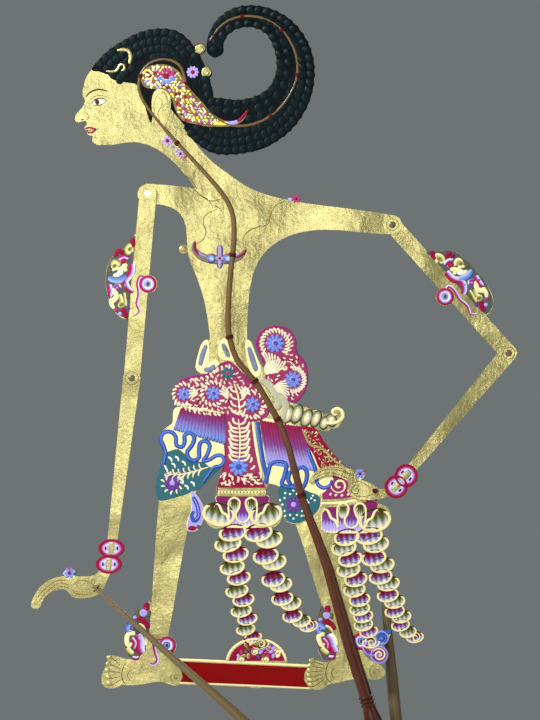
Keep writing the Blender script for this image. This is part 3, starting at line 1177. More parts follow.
def centre_panel():
    """Panel that hangs between the two thigh cloths."""
    ground = Piece("front_panel", CORE)
    line = curve(((-127.5, 291), (-127.8, 275), (-127, 260), (-129, 248), (-132.4, 238), (-132, 231.5)))
    right = curve(((-97.2, 231.5), (-97, 236.5), (-101, 245), (-104, 262), (-107.5, 285)))
    ground.wrap(line + right, M["cloth"], 0.26, 0.1, edge=M["crimson"])
    ground.stroke(line, 1.0, M["crimson"], 0.2, 0.26)
    low = [(-130, 247), (-104, 247), (-98.4, 238.4), (-98.4, 237), (-131.4, 237), (-131, 241)]
    ground.wrap(low, M["crimson"], 0.3, 0.0)
    ground.make()
    strip = Piece("panel_side_strips", CORE)
    strip.stroke([(-106.6, 285), (-104.6, 270), (-102.4, 257), (-100, 246)], 2.6, M["cream"], 0.2, 0.4,
                 (0.6, 0.3))
    strip.stroke([(-103.4, 285), (-101.6, 270), (-99.2, 256), (-96.2, 243), (-97, 239.5)], 3.6, M["blue"],
                 0.16, 0.4, (0.6, 0.4))
    strip.stroke([(-104.2, 283), (-102.2, 268), (-99.8, 254)], 1.0, M["sky"], 0.5, 0.15)
    strip.make()
    fern = Piece("panel_fern", CORE)
    fern.stroke([(-117.2, 287), (-116, 275), (-116.2, 262), (-117, 256)], 1.3, M["cream"], 0.28, 0.3)
    for k in range(10):
        z = 286.4 - 2.95 * k
        reach = (4.6, 6.6)[k > 0] + (0.9 if k % 2 else 0.0)
        fern.comma((-116.6 - reach, z + 1.4), (-116.6, z - 3.6), 1.9, M["petal"], -0.24, base=0.28)
        fern.comma((-116.4 + reach, z + 1.4), (-116.4, z - 3.6), 1.9, M["petal"], 0.24, base=0.28)
    heart = (-117, 252)
    fern.dome(heart, 6.6, 5.2, 0, M["blue"], base=0.22, height=0.25)
    fern.flower(heart, 7.2, 9, M["sky"], M["blue"], 0.32, 10)
    comma_ring(fern, heart, 11.6, -60, 70, 5, 3.2, 1.8)
    for x, z, turn in ((-128, 246, 60), (-122.5, 243.5, 110), (-124.8, 240, 30), (-118, 242.6, 80),
                       (-113.6, 241.6, 100), (-109, 245, 70), (-106, 241.5, 150), (-103.4, 239.4, 160),
                       (-128.4, 241, 20), (-112, 246.4, 20), (-101.6, 245.4, 100)):
        tip = polar((x, z), 2.4, turn)
        fern.comma(tip, polar((x, z), 2.2, turn + 180), 1.7, M["petal"], 0.25, base=0.34)
    scatter(fern, [(-129.5, 247), (-104.5, 247), (-99.5, 239), (-130.5, 239)], 22, [((-117, 252), 8.0)], 1.2,
            random.Random(2), 0.34)
    fern.make()
    band = Piece("panel_band", CORE)
    for z, tone in ((235.8, "leaf"), (233.6, "cream"), (231.6, "leaf")):
        band.stroke([(-132, z), (-115, z - 0.2), (-97, z)], 2.4, M[tone], 0.24, 0.34, (0.95, 0.95))
    for k in range(14):
        band.dome((-130.5 + 2.45 * k, 233.6), 0.75, 0.75, 0, M["rub"], base=0.5, height=0.2, segments=8)
    band.make()


def right_flap():
    """Thigh cloth on the right."""
    ground = Piece("right_thigh_cloth", CORE)
    line = curve(((-100, 288), (-84, 286), (-71, 280.5), (-62, 279.5), (-56, 266), (-52, 254), (-50, 244),
                  (-52, 236), (-58, 231)), False)
    under = curve(((-58, 231), (-57, 222.5), (-66, 214), (-74, 210.5), (-81, 211.8), (-86, 220), (-87, 230),
                   (-88, 237.5), (-97, 240)))
    ground.wrap(line + under[1:] + [(-99.5, 260)], M["cream"], 0.14, 0.1, edge=M["blue"])
    teal = curve(((-87.4, 238), (-86.6, 226), (-83, 214), (-75, 210.8), (-66, 214.4), (-58.2, 222),
                  (-58.4, 230.5), (-66, 234), (-75, 238)), True)
    ground.wrap(teal, M["teal"], 0.24, 0.15)
    ground.make()
    cloth = Piece("right_pleats", CORE)
    pleats(cloth, (-101.5, 286), (-70, 281), (-96.5, 254), (-62, 249), 15, "pleat_right")
    cloth.make()
    blue = Piece("right_blue_border", CORE)
    for wave in (((-98, 240), (-96, 246), (-93.5, 254), (-88, 256), (-82.5, 254), (-83.5, 246),
                  (-85.5, 240), (-82, 237.6), (-77, 238), (-74, 243), (-75.2, 250.4), (-79.4, 249)),
                 ((-79.4, 249), (-81, 243), (-79, 239)),
                 ((-75, 250), (-70, 252), (-67.2, 247), (-68.4, 240), (-71, 236)),
                 ((-66.8, 265), (-64.2, 258), (-61, 250), (-60.5, 246.5)),
                 ((-71, 236.5), (-76, 237), (-84, 237.8))):
        blue.stroke(wave, 3.4, M["blue"], 0.2, 0.5, (0.8, 0.8))
        blue.stroke(wave, 0.7, M["sky"], 0.5, 0.22, (0.6, 0.4))
    blue.dome((-54.5, 242.5), 7.6, 7.2, 0, M["cream"], base=0.16, height=0.24)
    blue.stroke([polar((-54.6, 242.2), 5.4, 110 + 23 * k) for k in range(12)], 3.0, M["blue"], 0.3, 0.4,
                (0.5, 0.5))
    blue.stroke([polar((-54.6, 242.2), 5.4, 130 + 20 * k) for k in range(11)], 0.9, M["sky"], 0.62, 0.2)
    blue.dome((-54.6, 243), 2.6, 2.6, 0, M["cream"], base=0.3, height=0.3)
    blue.make()
    sprig = Piece("right_thigh_flower", CORE)
    centre = (-77, 224.5)
    sprig.flower(centre, 6.4, 9, M["purple"], M["lilac"], 0.26)
    chance = random.Random(5)
    for k in range(20):
        around = 18 * k
        reach = 8.0 + (2.2 if k % 2 else 0.0)
        sprig.dome(polar(centre, reach, around), 1.0, 0.8, chance.uniform(0, 180), M["white"], base=0.24,
                   height=0.35, segments=10)
    for x, z in ((-64, 229), (-61.5, 227.5), (-62.8, 231), (-66, 226), (-69, 216.5)):
        sprig.dome((x, z), 0.9, 0.8, 0, M["white"], base=0.24, height=0.3, segments=10)
    sprig.make()


def sash_and_tail():
    """Red sash and the tail below it."""
    sash = Piece("red_sash", CORE)
    line = curve(((-72, 280.6), (-66, 281), (-60, 279), (-52, 266.5), (-42, 255), (-36, 250), (-44, 249.6),
                  (-57, 250.5), (-62, 260), (-68, 270)), True)
    sash.wrap(line, M["crimson"], 0.3, 0.15)
    edge = ((-70.5, 279.4), (-65, 268.6), (-56, 265.6), (-48, 257.4), (-38, 250.8))
    sash.stroke(edge, 2.2, M["leaf"], 0.3, 0.4, (0.4, 0.6))
    for place, start in (((-66.4, 275.4), 0), ((-62.6, 270.6), 120), ((-57.6, 262.4), 40),
                         ((-52.8, 257.6), 200), ((-60.6, 265), 300), ((-54.6, 252.8), 90)):
        sash.stroke(spiral(place, 2.5, 0.6, start, 1.1), 0.8, M["leaf"], 0.3, 0.3)
    for place in ((-68.6, 277.6), (-59.6, 276.6), (-49, 261.6), (-43, 255.6), (-46.5, 252.4)):
        sash.dome(place, 1.1, 0.9, 30, M["leaf"], base=0.3, height=0.3, segments=10)
    scatter(sash, [(-70, 279), (-61, 278), (-47, 260), (-40, 252.5), (-55, 252.5), (-61, 262)], 26,
            [((-66.4, 275.4), 1.6), ((-57.6, 262.4), 1.6)], 1.15, random.Random(4), 0.32, "leaf")
    sash.make()
    tail = Piece("tail_panel", CORE)
    tail.wrap(curve(((-52, 247), (-42, 249.5), (-32, 247), (-27, 240), (-25, 229.6))) + [(-56, 228.6)]
              + curve(((-56, 232), (-50.5, 238), (-49.6, 243))), M["magenta"], 0.22, 0.1, edge=M["crimson"])
    for centre, outer, start, turns in (((-43.6, 238.6), 6.6, 130, 1.5), ((-43.6, 238.6), 4.2, -40, 1.0)):
        tail.stroke(spiral(centre, outer, outer * 0.25, start, turns), 1.1, M["cream"], 0.26, 0.3)
    for place in ((-50, 232), (-46, 231.4), (-41.6, 231.2), (-37, 232), (-34.4, 236), (-34.6, 240),
                  (-37.4, 244), (-42, 246)):
        tail.dome(place, 1.3, 0.9, 40, M["cream"], base=0.26, height=0.3, segments=10)
    for shift, tone in ((0.0, "leaf"), (-2.1, "cream"), (-4.1, "leaf")):
        tail.stroke([(-57, 227.4 + shift), (-40, 228.2 + shift), (-24, 231.6 + shift)], 2.3, M[tone],
                    0.2, 0.34, (0.9, 0.9))
    tail.make()


# ---- skirts and strands ----------------------------------------------------------------------
LOBE_TILT = 11.0
STRANDS = {
    "front_left": (((-121, 204), (-125.3, 195.8), (-118.7, 188), (-122, 178.6), (-116.6, 171),
                    (-118.6, 161.6), (-113.2, 155), (-115.4, 147), (-110.4, 141), (-112.2, 133.4),
                    (-106.4, 127.6), (-100.5, 123)), 10.0, 6.3, 0.62),
    "front_right": (((-103.5, 204), (-94.2, 199.2), (-97.6, 187), (-90.8, 182.6), (-92, 170),
                     (-86, 166.2), (-85.4, 156), (-78.6, 152.4), (-78, 143.2), (-71, 139.6),
                     (-65.5, 136)), 9.9, 6.8, 0.66),
    "rear_left": (((-38, 200.6), (-40.6, 193), (-35.3, 184.8), (-37.2, 177), (-31.2, 170),
                   (-32.8, 162.2), (-28.6, 155.2), (-28.8, 148.4), (-26, 143), (-26.2, 136.8),
                   (-22, 131.8), (-20.2, 124)), 9.4, 6.3, 0.70),
    "rear_right": (((-22.2, 201.6), (-16.4, 195.6), (-18.8, 185.6), (-11.8, 180.4), (-13.8, 171.8),
                    (-7.4, 166.8), (-8.4, 158.4), (-2.8, 153.6), (-3.4, 146.6), (2.2, 142.6),
                    (0.8, 136.4), (6.6, 131.4), (12.2, 127.6)), 9.7, 6.5, 0.62),
}


def strands():
    """Strings of lobes, each ending in a curl."""
    for name, (places, half_width, half_height, last) in STRANDS.items():
        piece = Piece("strand_" + name, CORE)
        for count, place in enumerate(places):
            size = 1 - (1 - last) * count / (len(places) - 1)
            tone = "lobe_olive" if count % 2 else "lobe_purple"
            neighbours = places[max(count - 1, 0):count] + places[count + 1:count + 2]
            inward = 0.08 * (sum(spot[0] for spot in neighbours) / len(neighbours) - place[0])
            inward = max(-1.2, min(1.2, inward))
            piece.lobe((place[0] + inward, place[1]), half_width * size + abs(inward), half_height * size,
                       LOBE_TILT, M[tone])
        end = places[-1]
        tip = half_height * last
        piece.stroke(spiral(end, tip * 0.9, tip * 0.2, 120, -1.3), 1.0, M["cream"], 0.35, 0.35)
        piece.make()


def skirts():
    """The front and the rear skirt."""
    for name, shift, foot, tone in (("front_skirt", -114.0, 207.5, "skirt_centre"),
                                    ("rear_skirt", -34.6, 203.4, "skirt_right")):
        piece = Piece(name, CORE)
        top = foot + 24.0
        outline = curve(((shift - 17, top), (shift - 19.5, top - 6), (shift - 24, top - 14),
                         (shift - 20, foot + 1.5), (shift - 8, foot), (shift + 8, foot),
                         (shift + 19, foot + 1), (shift + 22, top - 14), (shift + 19, top - 6),
                         (shift + 16, top)), True)
        if name == "rear_skirt":
            outline = [(max(x, -56.5), min(z, 227.5 + 0.05 * (x + 40))) for x, z in outline]
        piece.wrap(outline, M[tone], 0.2, 0.1, edge=M["cream"])
        lobes = [(shift + 17.0, foot + 9.6, 12.2, 8.8, 40)]
        if name == "front_skirt":
            lobes.append((shift - 17.5, foot + 9.8, 12.4, 8.8, -40))
        for x, z, wide, high, turn in lobes:
            piece.lobe((x, z), wide, high, turn * 0.3, M["lobe_olive"], lift=0.5, tilt=0.1)
        for side in (-1, 1):
            x = shift + side * 6.2
            loop = ((x + side * 3.6, foot + 7), (x + side * 4.2, foot + 14), (x + side * 3.6, foot + 19.6),
                    (x, foot + 22), (x - side * 3.8, foot + 19.6), (x - side * 3.4, foot + 14.5),
                    (x - side * 1.2, foot + 10), (x - side * 2.6, foot + 5.6), (x - side * 6.2, foot + 3.8))
            piece.dome((x + side * 0.2, foot + 15.8), 3.4, 5.6, 0, M["lobe_olive"], base=0.18, height=0.3)
            piece.stroke(loop, 1.7, M["cream"], 0.22, 0.45, (0.8, 0.8))
            scallop = [(shift + side * (9.5 + 2.6 * k), foot + 5.0 + 3.4 * k + (1.3 if k % 2 else -0.8))
                       for k in range(5)]
            piece.stroke(scallop, 2.2, M["cream"], 0.2, 0.32, (0.8, 0.4))
        piece.make()


# ---- rings, armlets, anklets -----------------------------------------------------------------
class Limb:
    """A limb's own plane frame: along from its top, out to its ornamented side."""

    def __init__(self, top, foot, side):
        length = math.dist(top, foot)
        self.top = top
        self.along = ((foot[0] - top[0]) / length, (foot[1] - top[1]) / length)
        self.out = (-self.along[1] * side, self.along[0] * side)

    def at(self, along, out):
        return (self.top[0] + self.along[0] * along + self.out[0] * out,
                self.top[1] + self.along[1] * along + self.out[1] * out)


LEFT_ARM = Limb(LEFT_SHOULDER, LEFT_ELBOW, -1)
RIGHT_ARM = Limb(RIGHT_SHOULDER, RIGHT_ELBOW, 1)


def left_arm_place(x, z, limb, squeeze):
    """A place on the left arm, carried over to a limb."""
    dx, dz = x - LEFT_ARM.top[0], z - LEFT_ARM.top[1]
    along = dx * LEFT_ARM.along[0] + dz * LEFT_ARM.along[1]
    out = dx * LEFT_ARM.out[0] + dz * LEFT_ARM.out[1]
    return limb.at(along, out * squeeze)


def scroll_work(piece, carry, low, bands, dots):
    """Painted bands and buds, given in one limb's places and carried to another."""
    for points, width, tone in bands:
        piece.stroke([carry(x, z) for x, z in points], width * 1.5, M[tone], low, 0.26, (0.75, 0.35))
    for x, z, radius, tone in dots:
        piece.dome(carry(x, z), radius, radius * 0.85, 30, M[tone], base=low + 0.08, height=0.2, segments=12)


ARMLET_BANDS = (
    (((-195.2, 411), (-194.4, 414.6), (-194.8, 419)), 2.8, "crimson"),
    (((-193.6, 409), (-196, 414), (-199, 411), (-197.8, 407.4), (-195, 408.6)), 2.3, "gold_band"),
    (((-201, 408), (-204.6, 409.4), (-207, 408)), 2.6, "crimson"),
    (((-197, 404.6), (-201, 405.4), (-205, 403.6)), 2.6, "hook"),
    (((-203, 399.4), (-207.6, 402), (-209.8, 398.4)), 2.6, "gold_band"),
    (((-198.6, 400), (-202, 396.6), (-204.6, 392.4), (-208.6, 391.6)), 2.7, "cream"),
    (((-201, 395), (-206, 397), (-209, 395)), 2.0, "cream"),
    (((-198, 390.4), (-204, 388.4), (-208, 388.6), (-212, 390)), 3.6, "blue_band"),
    (((-194.6, 400), (-195.4, 393), (-199.6, 387.6), (-197.6, 382.2), (-193.6, 379.6)), 3.8, "hook"),
    (((-211.4, 385), (-210.4, 380), (-211, 375.6)), 3.0, "hook"),
    (((-203, 384.4), (-207.4, 381), (-206, 376), (-209.8, 371.6), (-207.6, 367.4)), 2.8, "cream"),
    (((-204, 377.6), (-202.4, 373), (-205, 369.4)), 2.5, "gold_band"),
    (((-202, 368), (-200.4, 364.6), (-198.4, 361.6)), 2.8, "crimson"),
    (((-200.4, 379), (-199.6, 373.6), (-199, 369)), 1.6, "gold_band"),
)
ARMLET_DOTS = (
    (-196.4, 410.8, 2.4, "bud_olive"), (-196.4, 410.8, 1.2, "lilac"), (-206.4, 406.6, 1.8, "crimson"),
    (-200.9, 402.2, 3.0, "bud_red"), (-200.9, 402.2, 1.2, "lilac"), (-207.6, 398.6, 2.6, "bud_olive"),
    (-203.4, 393.6, 2.6, "white"), (-199.6, 395.8, 1.8, "cream"), (-210.8, 394.6, 1.6, "olive"),
    (-205.6, 382.8, 3.2, "bud_purple"), (-205.6, 382.8, 1.3, "lilac"), (-210.9, 381, 1.7, "rose"),
    (-199.4, 384.6, 1.6, "sky"), (-209.6, 373.4, 2.2, "cream"), (-202.4, 370.4, 2.9, "bud_olive"),
    (-202.4, 370.4, 1.3, "crimson"), (-206.8, 366.6, 1.7, "rose"), (-203.6, 363.6, 1.7, "lilac"),
    (-199.2, 361.8, 1.7, "crimson"), (-198.2, 375.8, 1.6, "olive"), (-197.4, 367.6, 1.6, "purple"),
)


def hook_ring(piece, centre, low):
    """Ring of shaded strokes about a dark slot."""
    piece.stroke([polar(centre, 4.5, 30 * k) for k in range(12)], 4.2, M["hook"], low, 0.3, closed=True)
    piece.dome(centre, 2.3, 2.5, 0, M["sky"], base=low, height=0.14)
    piece.dome(centre, 1.1, 1.7, 0, M["ink"], base=low + 0.1, height=0.1, segments=12)


def armlet(name, hide, limb, ground, squeeze, ring_centre):
    """Scrolled band on an upper arm, with its hook ring."""
    def carry(x, z):
        return left_arm_place(x, z, limb, squeeze)

    piece = Piece(name, hide)
    piece.wrap(curve(ground, True), M["gap"], 0.06, 0.0, bevel=0.2, edge=M["wine"])
    scroll_work(piece, carry, 0.06, ARMLET_BANDS, ARMLET_DOTS)
    piece.make()
    ring = Piece(name + "_ring", hide)
    hook_ring(ring, ring_centre, 0.0)
    tail = [carry(x, z) for x, z in ((-184.6, 388.6), (-188.6, 390.8), (-190.6, 386), (-189.8, 378),
                                     (-191.2, 371), (-189.4, 365), (-194.4, 361.4))]
    ring.stroke(tail, 2.6, M["hook"], 0.0, 0.22, (0.8, 0.1))
    ring.make()


def bangles(name, hide, places, wrist_turn, cuff):
    """A row of bangles with dark slots in them."""
    piece = Piece(name, hide)
    for place, wide, high, turn in places:
        piece.lobe(place, wide, high, turn, M["ring"], lift=0.24, tilt=0.0, grow=0.15, rim=0.86)
        for side in (-1, 1):
            slot = polar(place, wide * 0.46, turn + (0 if side > 0 else 180))
            piece.dome(slot, 1.0, 1.9, turn, M["ink"], base=0.14, height=0.08, segments=12)
        length, width = cuff
        start = polar(place, length, wrist_turn)
        end = polar(place, length, wrist_turn + 180)
        piece.stroke([start, place, end], width, M["leaf"], 0.05, 0.22, (0.85, 0.85))
    piece.make()


def arms():
    left_ground = ((-192.6, 420.5), (-198, 413), (-206, 408), (-211.5, 401), (-214, 390), (-212.5, 377),
                   (-208, 366), (-200, 360.5), (-197, 361.5), (-194.8, 390), (-192.6, 414))
    right_ground = ((19.5, 408.4), (28, 409), (38, 410), (47, 404), (56, 395), (64, 384), (68.5, 372),
                    (64, 363.4), (59.5, 366), (44, 382.5), (26, 402.5))
    armlet("left_armlet", LEFT_UPPER, LEFT_ARM, left_ground, 1.0, (-183.2, 385.4))
    armlet("right_armlet", RIGHT_UPPER, RIGHT_ARM, right_ground, 0.9, (33.4, 376.2))
    bangles("left_bangles", LEFT_FORE, (((-209.6, 192.8), 9.4, 6.7, 0), ((-211.6, 181.2), 9.4, 6.7, 0)),
            84, (4.4, 5.6))
    bangles("right_bangles", RIGHT_FORE, (((5.1, 245.7), 8.3, 8.3, -42), ((-2.2, 237.6), 8.3, 8.3, -42)),
            48, (4.2, 5.8))
    for name, hide, centre, radius in (("left_elbow_ring", LEFT_FORE, LEFT_ELBOW, 4.8),
                                       ("right_elbow_ring", RIGHT_UPPER, RIGHT_ELBOW, 4.4)):
        piece = Piece(name, hide)
        piece.stroke([polar(centre, radius, 30 * k) for k in range(12)], 0.5, M["rub"], 0.0, 0.14,
                     closed=True, sides=(FRONT,))
        piece.make()


def hands():
    left = Piece("left_hand_lines", LEFT_FORE)
    for points in (((-240, 166), (-248, 167.5), (-257, 161), (-264, 152)),
                   ((-240, 169), (-250, 169), (-260, 161.5), (-266, 153.5)),
                   ((-240, 163.5), (-247, 165), (-255, 159.5), (-262, 151.5)),
                   ((-224, 160), (-231, 159), (-237, 160.5), (-238.5, 164)),
                   ((-238, 166.5), (-232, 169.5), (-226, 168.5), (-222, 165.5))):
        left.stroke(points, 0.55, M["rub"], 0.0, 0.2, (0.2, 0.2))
    left.stroke(spiral((-236.5, 160.6), 2.8, 0.7, 200, 0.9), 0.6, M["rub"], 0.0, 0.2)
    left.flower((-240.3, 174.8), 4.2, 6, M["sky"], M["crimson"], 0.0)
    for place, tone in (((-244, 174.4), "lilac"), ((-236.6, 174.2), "blue"), ((-240.5, 177.4), "rose")):
        left.dome(place, 1.5, 1.1, 20, M[tone], base=0.0, height=0.28)
    left.make()
    right = Piece("right_hand_lines", RIGHT_FORE)
    for points in (((-36, 242.5), (-44, 246.5), (-54, 247.5), (-63, 242.5)),
                   ((-33, 245), (-43, 249.5), (-54, 250), (-63.6, 244.4)),
                   ((-29, 244.5), (-38, 248), (-44, 251.4), (-54, 251.4)),
                   ((-34, 231.8), (-27, 230.4), (-20, 231.6), (-14, 231.4)),
                   ((-36, 240), (-30, 241.5), (-25, 239.5), (-21, 236.5))):
        right.stroke(points, 0.6, M["rub"], 0.0, 0.16, (0.2, 0.2))
    right.stroke(spiral((-31.6, 235), 4.2, 0.9, 60, 1.2), 0.8, M["rub"], 0.0, 0.18)
    right.flower((-28.6, 247), 3.8, 6, M["sky"], M["crimson"], 0.0)
    right.dome((-25.4, 249), 1.3, 1.0, 0, M["rose"], base=0.0, height=0.16)
    right.make()


ANKLET_BANDS = (
    (((-185.4, 147.6), (-184, 150), (-184.6, 153)), 3.0, "crimson"),
    (((-189, 142.6), (-191, 145.6), (-190.6, 148.4)), 1.9, "olive"),
    (((-182.8, 142.6), (-182.2, 145.4), (-182.4, 147.6)), 1.8, "olive"),
    (((-191, 141.4), (-187.6, 140.4), (-184.4, 137.4), (-182.8, 134)), 3.0, "crimson"),
    (((-190, 137), (-187, 135.6), (-185.4, 132)), 1.8, "gold_band"),
    (((-190.6, 135), (-194.4, 138.4), (-198, 135.4), (-197.4, 131.6), (-194.6, 132.6)), 2.5, "blue_band"),
    (((-192.4, 130.6), (-197.4, 130), (-198.6, 125.4), (-197.4, 121.4), (-195, 123.6)), 2.6, "cream"),
    (((-191, 129.4), (-189, 125), (-189, 120), (-187.2, 115.6)), 5.6, "hook"),
    (((-195, 127), (-192.6, 123.6), (-194, 119.6)), 2.4, "hook"),
    (((-198.4, 120), (-196.4, 117), (-193.6, 115.4)), 3.0, "gold_band"),
    (((-194.6, 113), (-191.6, 112.2), (-189.6, 113.4)), 2.2, "hook"),
    (((-186.4, 131.6), (-184.4, 127), (-184.6, 121.6)), 1.9, "cream"),
)
ANKLET_DOTS = ((-186.4, 145.4, 3.4, "lilac"), (-186.4, 145, 1.1, "ink"), (-192.8, 142.2, 1.6, "lilac"),
               (-185, 148.6, 1.5, "rose"), (-194.4, 134.6, 1.1, "sky"), (-192.2, 118.4, 1.4, "crimson"))


def anklet(name, ground, carry):
    """Winged ornament at the back of an ankle."""
    piece = Piece(name, CORE)
    piece.wrap(curve(ground, True), M["gap"], 0.12, 0.1, edge=M["wine"])
    scroll_work(piece, carry, 0.14, ANKLET_BANDS, ANKLET_DOTS)
    piece.make()


def feet():
    left_ground = ((-183, 152.8), (-187.5, 147), (-194, 143.5), (-199, 137), (-200, 128), (-199, 118),
                   (-195.5, 111.6), (-188.4, 114.6), (-183.4, 126), (-181.6, 140))
    right_ground = ((-56, 150.6), (-59, 143), (-60.8, 134), (-59.6, 122), (-55, 111.5), (-46.6, 112),
                    (-46.6, 122), (-52, 140))
    anklet("left_anklet", left_ground, lambda x, z: (x, z))
    anklet("right_anklet", right_ground,
           lambda x, z: (0.86 * x + 114.6 - 0.26 * (z - 118), 0.93 * z + 8.4))
    piece = Piece("ankle_rings", CORE)
    for centre in ((-169.4, 121.8), (-27.6, 124.8)):
        piece.dome(centre, 6.6, 6.6, 0, M["gap"], base=0.0, height=0.1)
        hook_ring(piece, centre, 0.05)
    piece.stroke([(-173.6, 125.4), (-178.6, 124), (-177.8, 117), (-176.2, 111), (-179, 107.8), (-182.6, 109)],
                 3.0, M["hook"], 0.0, 0.35, (0.8, 0.2))
    piece.make()
    heel = Piece("right_heel_curls", CORE)
    heel.lobe((-20.4, 119.6), 6.4, 5.4, -20, M["bud_purple"], lift=0.36, tilt=0.0, grow=0.15)
    heel.lobe((-14.4, 114.8), 6.4, 6.4, 0, M["bud_purple"], lift=0.46, tilt=0.0, grow=0.2)
    heel.stroke(spiral((-14.4, 114.8), 5.0, 0.8, 150, -1.7), 1.3, M["cream"], 0.3, 0.35)
    heel.lobe((-12.8, 127.2), 5.2, 5.0, 0, M["bud_blue"], lift=0.4, tilt=0.0, grow=0.2)
    heel.stroke(spiral((-12.8, 127.2), 4.2, 0.7, -60, 1.5), 1.4, M["blue"], 0.28, 0.35)
    heel.stroke([(-12, 131.4), (-8.4, 131), (-5.2, 132.8)], 3.4, M["blue"], 0.0, 0.35, (0.8, 0.1))
    heel.make()
    calf = Piece("left_calf_curl", CORE)
    calf.wrap(curve(((-151.6, 234), (-145.4, 228), (-142.4, 219), (-144, 211), (-147.6, 206), (-154, 205.4),
                     (-154.4, 212), (-151.6, 221)), True), M["lilac"], 0.2, 0.2, edge=M["cream"])
    calf.stroke([(-150.4, 230), (-147.4, 224), (-146.4, 216), (-149.6, 212.6), (-151.4, 217),
                 (-149.4, 219.6)], 3.4, M["blue"], 0.24, 0.4, (0.7, 0.4))
    calf.stroke([(-149.8, 229), (-147, 223.4), (-146.2, 216.4), (-149, 213.4)], 0.9, M["lilac"], 0.55, 0.2)
    calf.dome((-151, 207.2), 3.4, 1.9, 0, M["crimson"], base=0.2, height=0.3)
    calf.dome((-146.4, 208.2), 1.8, 1.6, 0, M["olive"], base=0.2, height=0.3)
    calf.make()
    lines = Piece("foot_lines", CORE)
    for ball, toe_x, low, spread, toes in (((-201.5, 100.5), -215, 92.5, 19.0, 5),
                                           ((-52.5, 102), -67.8, 91.5, 17.6, 6)):
        ball_x, ball_z = ball
        for k in range(toes):
            x = toe_x + 0.6 * abs(k - 2)
            z = low + spread * k / (toes - 1)
            lines.stroke([(x, z), (toe_x + 6, z + 0.6), (ball_x - 2, ball_z + (z - 100) * 0.55)],
                         0.6, M["rub"], 0.0, 0.3, (0.4, 0.15))
            lines.dome((x + 2.2, z + 1.6), 2.4, 1.5, 8, M["leaf"], base=0.0, height=0.45, segments=12)
        lines.stroke([(ball_x + 1.5, ball_z + 8), (ball_x - 0.8, ball_z + 2), (ball_x - 0.4, ball_z - 4),
                      (ball_x + 2.6, ball_z - 7.6)], 0.8, M["rub"], 0.0, 0.25, (0.2, 0.2))
        lines.stroke([(ball_x + 5.5, ball_z + 3.5), (ball_x + 3.2, ball_z - 0.6),
                      (ball_x + 5.2, ball_z - 4.4)], 0.6, M["rub"], 0.0, 0.22)
    for centre in ((-162.6, 98.4), (-17.4, 102.4)):
        lines.stroke(spiral(centre, 2.5, 0.6, 20, 1.0), 0.6, M["rub"], 0.0, 0.22)
        lines.stroke([polar(centre, 4.0, 140 + 15 * k) for k in range(7)], 0.5, M["rub"], 0.0, 0.2)
    lines.make()


# ---- base ------------------------------------------------------------------------------------
def base():
    bar = Piece("base_bar", CORE)
    bar.wrap([(-159.5, 110.2), (-67, 105.6), (-69, 101), (-69, 96), (-66, 90.9), (-159.8, 94.8),
              (-158, 99), (-159.5, 105)], M["red"], 0.12, 0.0)
    bar.stroke([(-163, 111.4), (-128, 109.8), (-66, 106.8)], 2.0, M["cream"], 0.0, 0.35, (0.9, 0.9))
    bar.stroke([(-160, 94.4), (-120, 92.9), (-65, 90.4)], 1.5, M["cream"], 0.0, 0.3, (0.9, 0.9))
    bar.make()
    dome = Piece("base_flower_dome", CORE)
    arch = [polar((-104, 109), 1.0, 4 + 8.6 * k) for k in range(21)]
    arch = [(-104 + (x + 104) * 21.6, 109 + (z - 109) * 17.4) for x, z in arch]
    ground = [(-104 + (x + 104) * 0.95, 109 + (z - 109) * 0.94) for x, z in arch]
    dome.wrap(ground, M["crimson"], 0.2, 0.2, edge=M["cream"])
    dome.stroke(arch, 2.0, M["cream"], 0.05, 0.5, (0.9, 0.9), smooth_line=False)
    colours = ["olive", "purple", "cream", "rose", "crimson", "bud_olive", "lilac"]
    leafy(dome, offset(ground, -1.8), 3.6, colours, random.Random(3), 0.26)
    for centre in ((-105.5, 117), (-88.6, 117), (-97.5, 111.5), (-115.5, 111.5)):
        dome.dome(centre, 2.9, 2.6, 0, M["cream"], base=0.3, height=0.35)
        dome.stroke(spiral(centre, 2.2, 0.5, 40, 1.0), 0.8, M["rub"], 0.5, 0.2)
    dome.stroke([(-113, 127.5), (-110, 122), (-104, 121), (-99, 119)], 3.4, M["crimson"], 0.2, 0.35)
    dome.lobe((-94.5, 120.8), 4.2, 3.2, -35, M["bud_purple"], lift=0.45, tilt=0.0, grow=0.0)
    dome.lobe((-100.5, 123), 4.4, 4.2, 0, M["bud_cream"], lift=0.55, tilt=0.0, grow=0.0)
    dome.stroke(spiral((-100.5, 123), 3.4, 0.6, 100, -1.5), 1.0, M["rub"], 0.45, 0.25)
    dome.make()


# ---- stage -----------------------------------------------------------------------------------
VIEW_CENTRE = (-94.2, 330.0)     # plane point at the middle of the picture
VIEW_HEIGHT = 525.6              # height of the plane that the picture shows
VIEW_DISTANCE = 1900.0


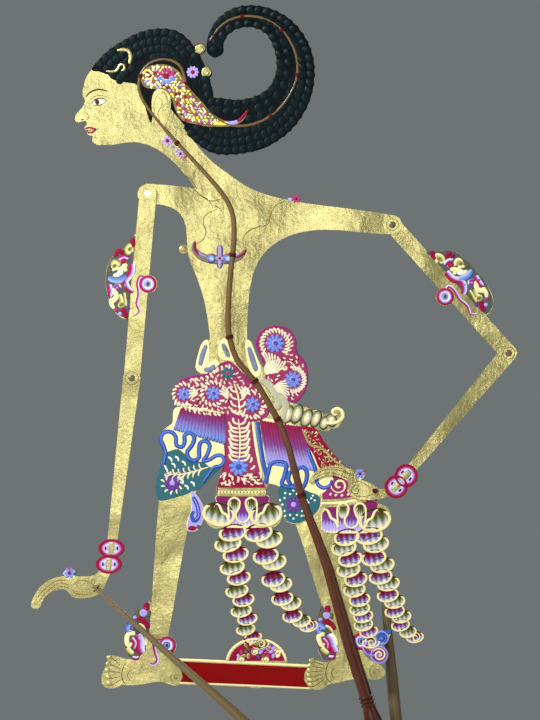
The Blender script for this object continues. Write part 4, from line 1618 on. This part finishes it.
def stage():
    """Camera, backdrop and lights."""
    low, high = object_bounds()
    camera = bpy.data.cameras.new("camera")
    camera.lens = 18.0 * VIEW_DISTANCE / (VIEW_HEIGHT / 2)
    camera.sensor_width = 36.0
    holder = bpy.data.objects.new("camera", camera)
    holder.location = (VIEW_CENTRE[0] * MM, -VIEW_DISTANCE * MM, VIEW_CENTRE[1] * MM)
    holder.rotation_euler = (math.radians(90), 0, 0)
    bpy.context.scene.collection.objects.link(holder)
    bpy.context.scene.camera = holder
    middle = Vector((VIEW_CENTRE[0] * MM, 0, VIEW_CENTRE[1] * MM))
    for name, place, size, power in (("key", (-0.98, -0.92, 1.12), 0.4, 43.0),
                                     ("fill", (1.5, -0.9, 0.5), 1.2, 7.0),
                                     ("glint", (-0.36, -1.85, 0.42), 0.6, 5.0),
                                     ("rim", (0.3, 1.2, 1.3), 1.0, 12.0)):
        lamp = bpy.data.lights.new(name, "AREA")
        lamp.energy = power
        lamp.size = size
        shown = bpy.data.objects.new(name, lamp)
        shown.location = place
        shown.rotation_euler = (middle - Vector(place)).to_track_quat("-Z", "Y").to_euler()
        bpy.context.scene.collection.objects.link(shown)
    world = bpy.data.worlds.new("studio")
    world.use_nodes = True
    world.node_tree.nodes["Background"].inputs[0].default_value = (0.52, 0.58, 0.57, 1.0)
    world.node_tree.nodes["Background"].inputs[1].default_value = 0.3
    bpy.context.scene.world = world
    bpy.context.scene.view_settings.view_transform = "Standard"
    floor_mesh = bpy.data.meshes.new("floor")
    reach = 1.0
    level = low.z - 0.004
    rim = [(middle.x + reach * math.cos(math.radians(5 * k)), reach * math.sin(math.radians(5 * k)), level)
           for k in range(72)]
    floor_mesh.from_pydata(rim, [], [tuple(range(72))])
    floor_mesh.materials.append(paint("floor_paint", (0.62, 0.63, 0.62), 0.03, (0.6, 0.7)))
    floor = bpy.data.objects.new("floor", floor_mesh)
    bpy.context.scene.collection.objects.link(floor)
    floor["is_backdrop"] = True


cad_materials()
hair()
face()
head_ornaments()
torso()
sash_knot()
horn_belt()
left_flap()
centre_panel()
right_flap()
sash_and_tail()
skirts()
strands()
arms()
hands()
feet()
base()
stage()
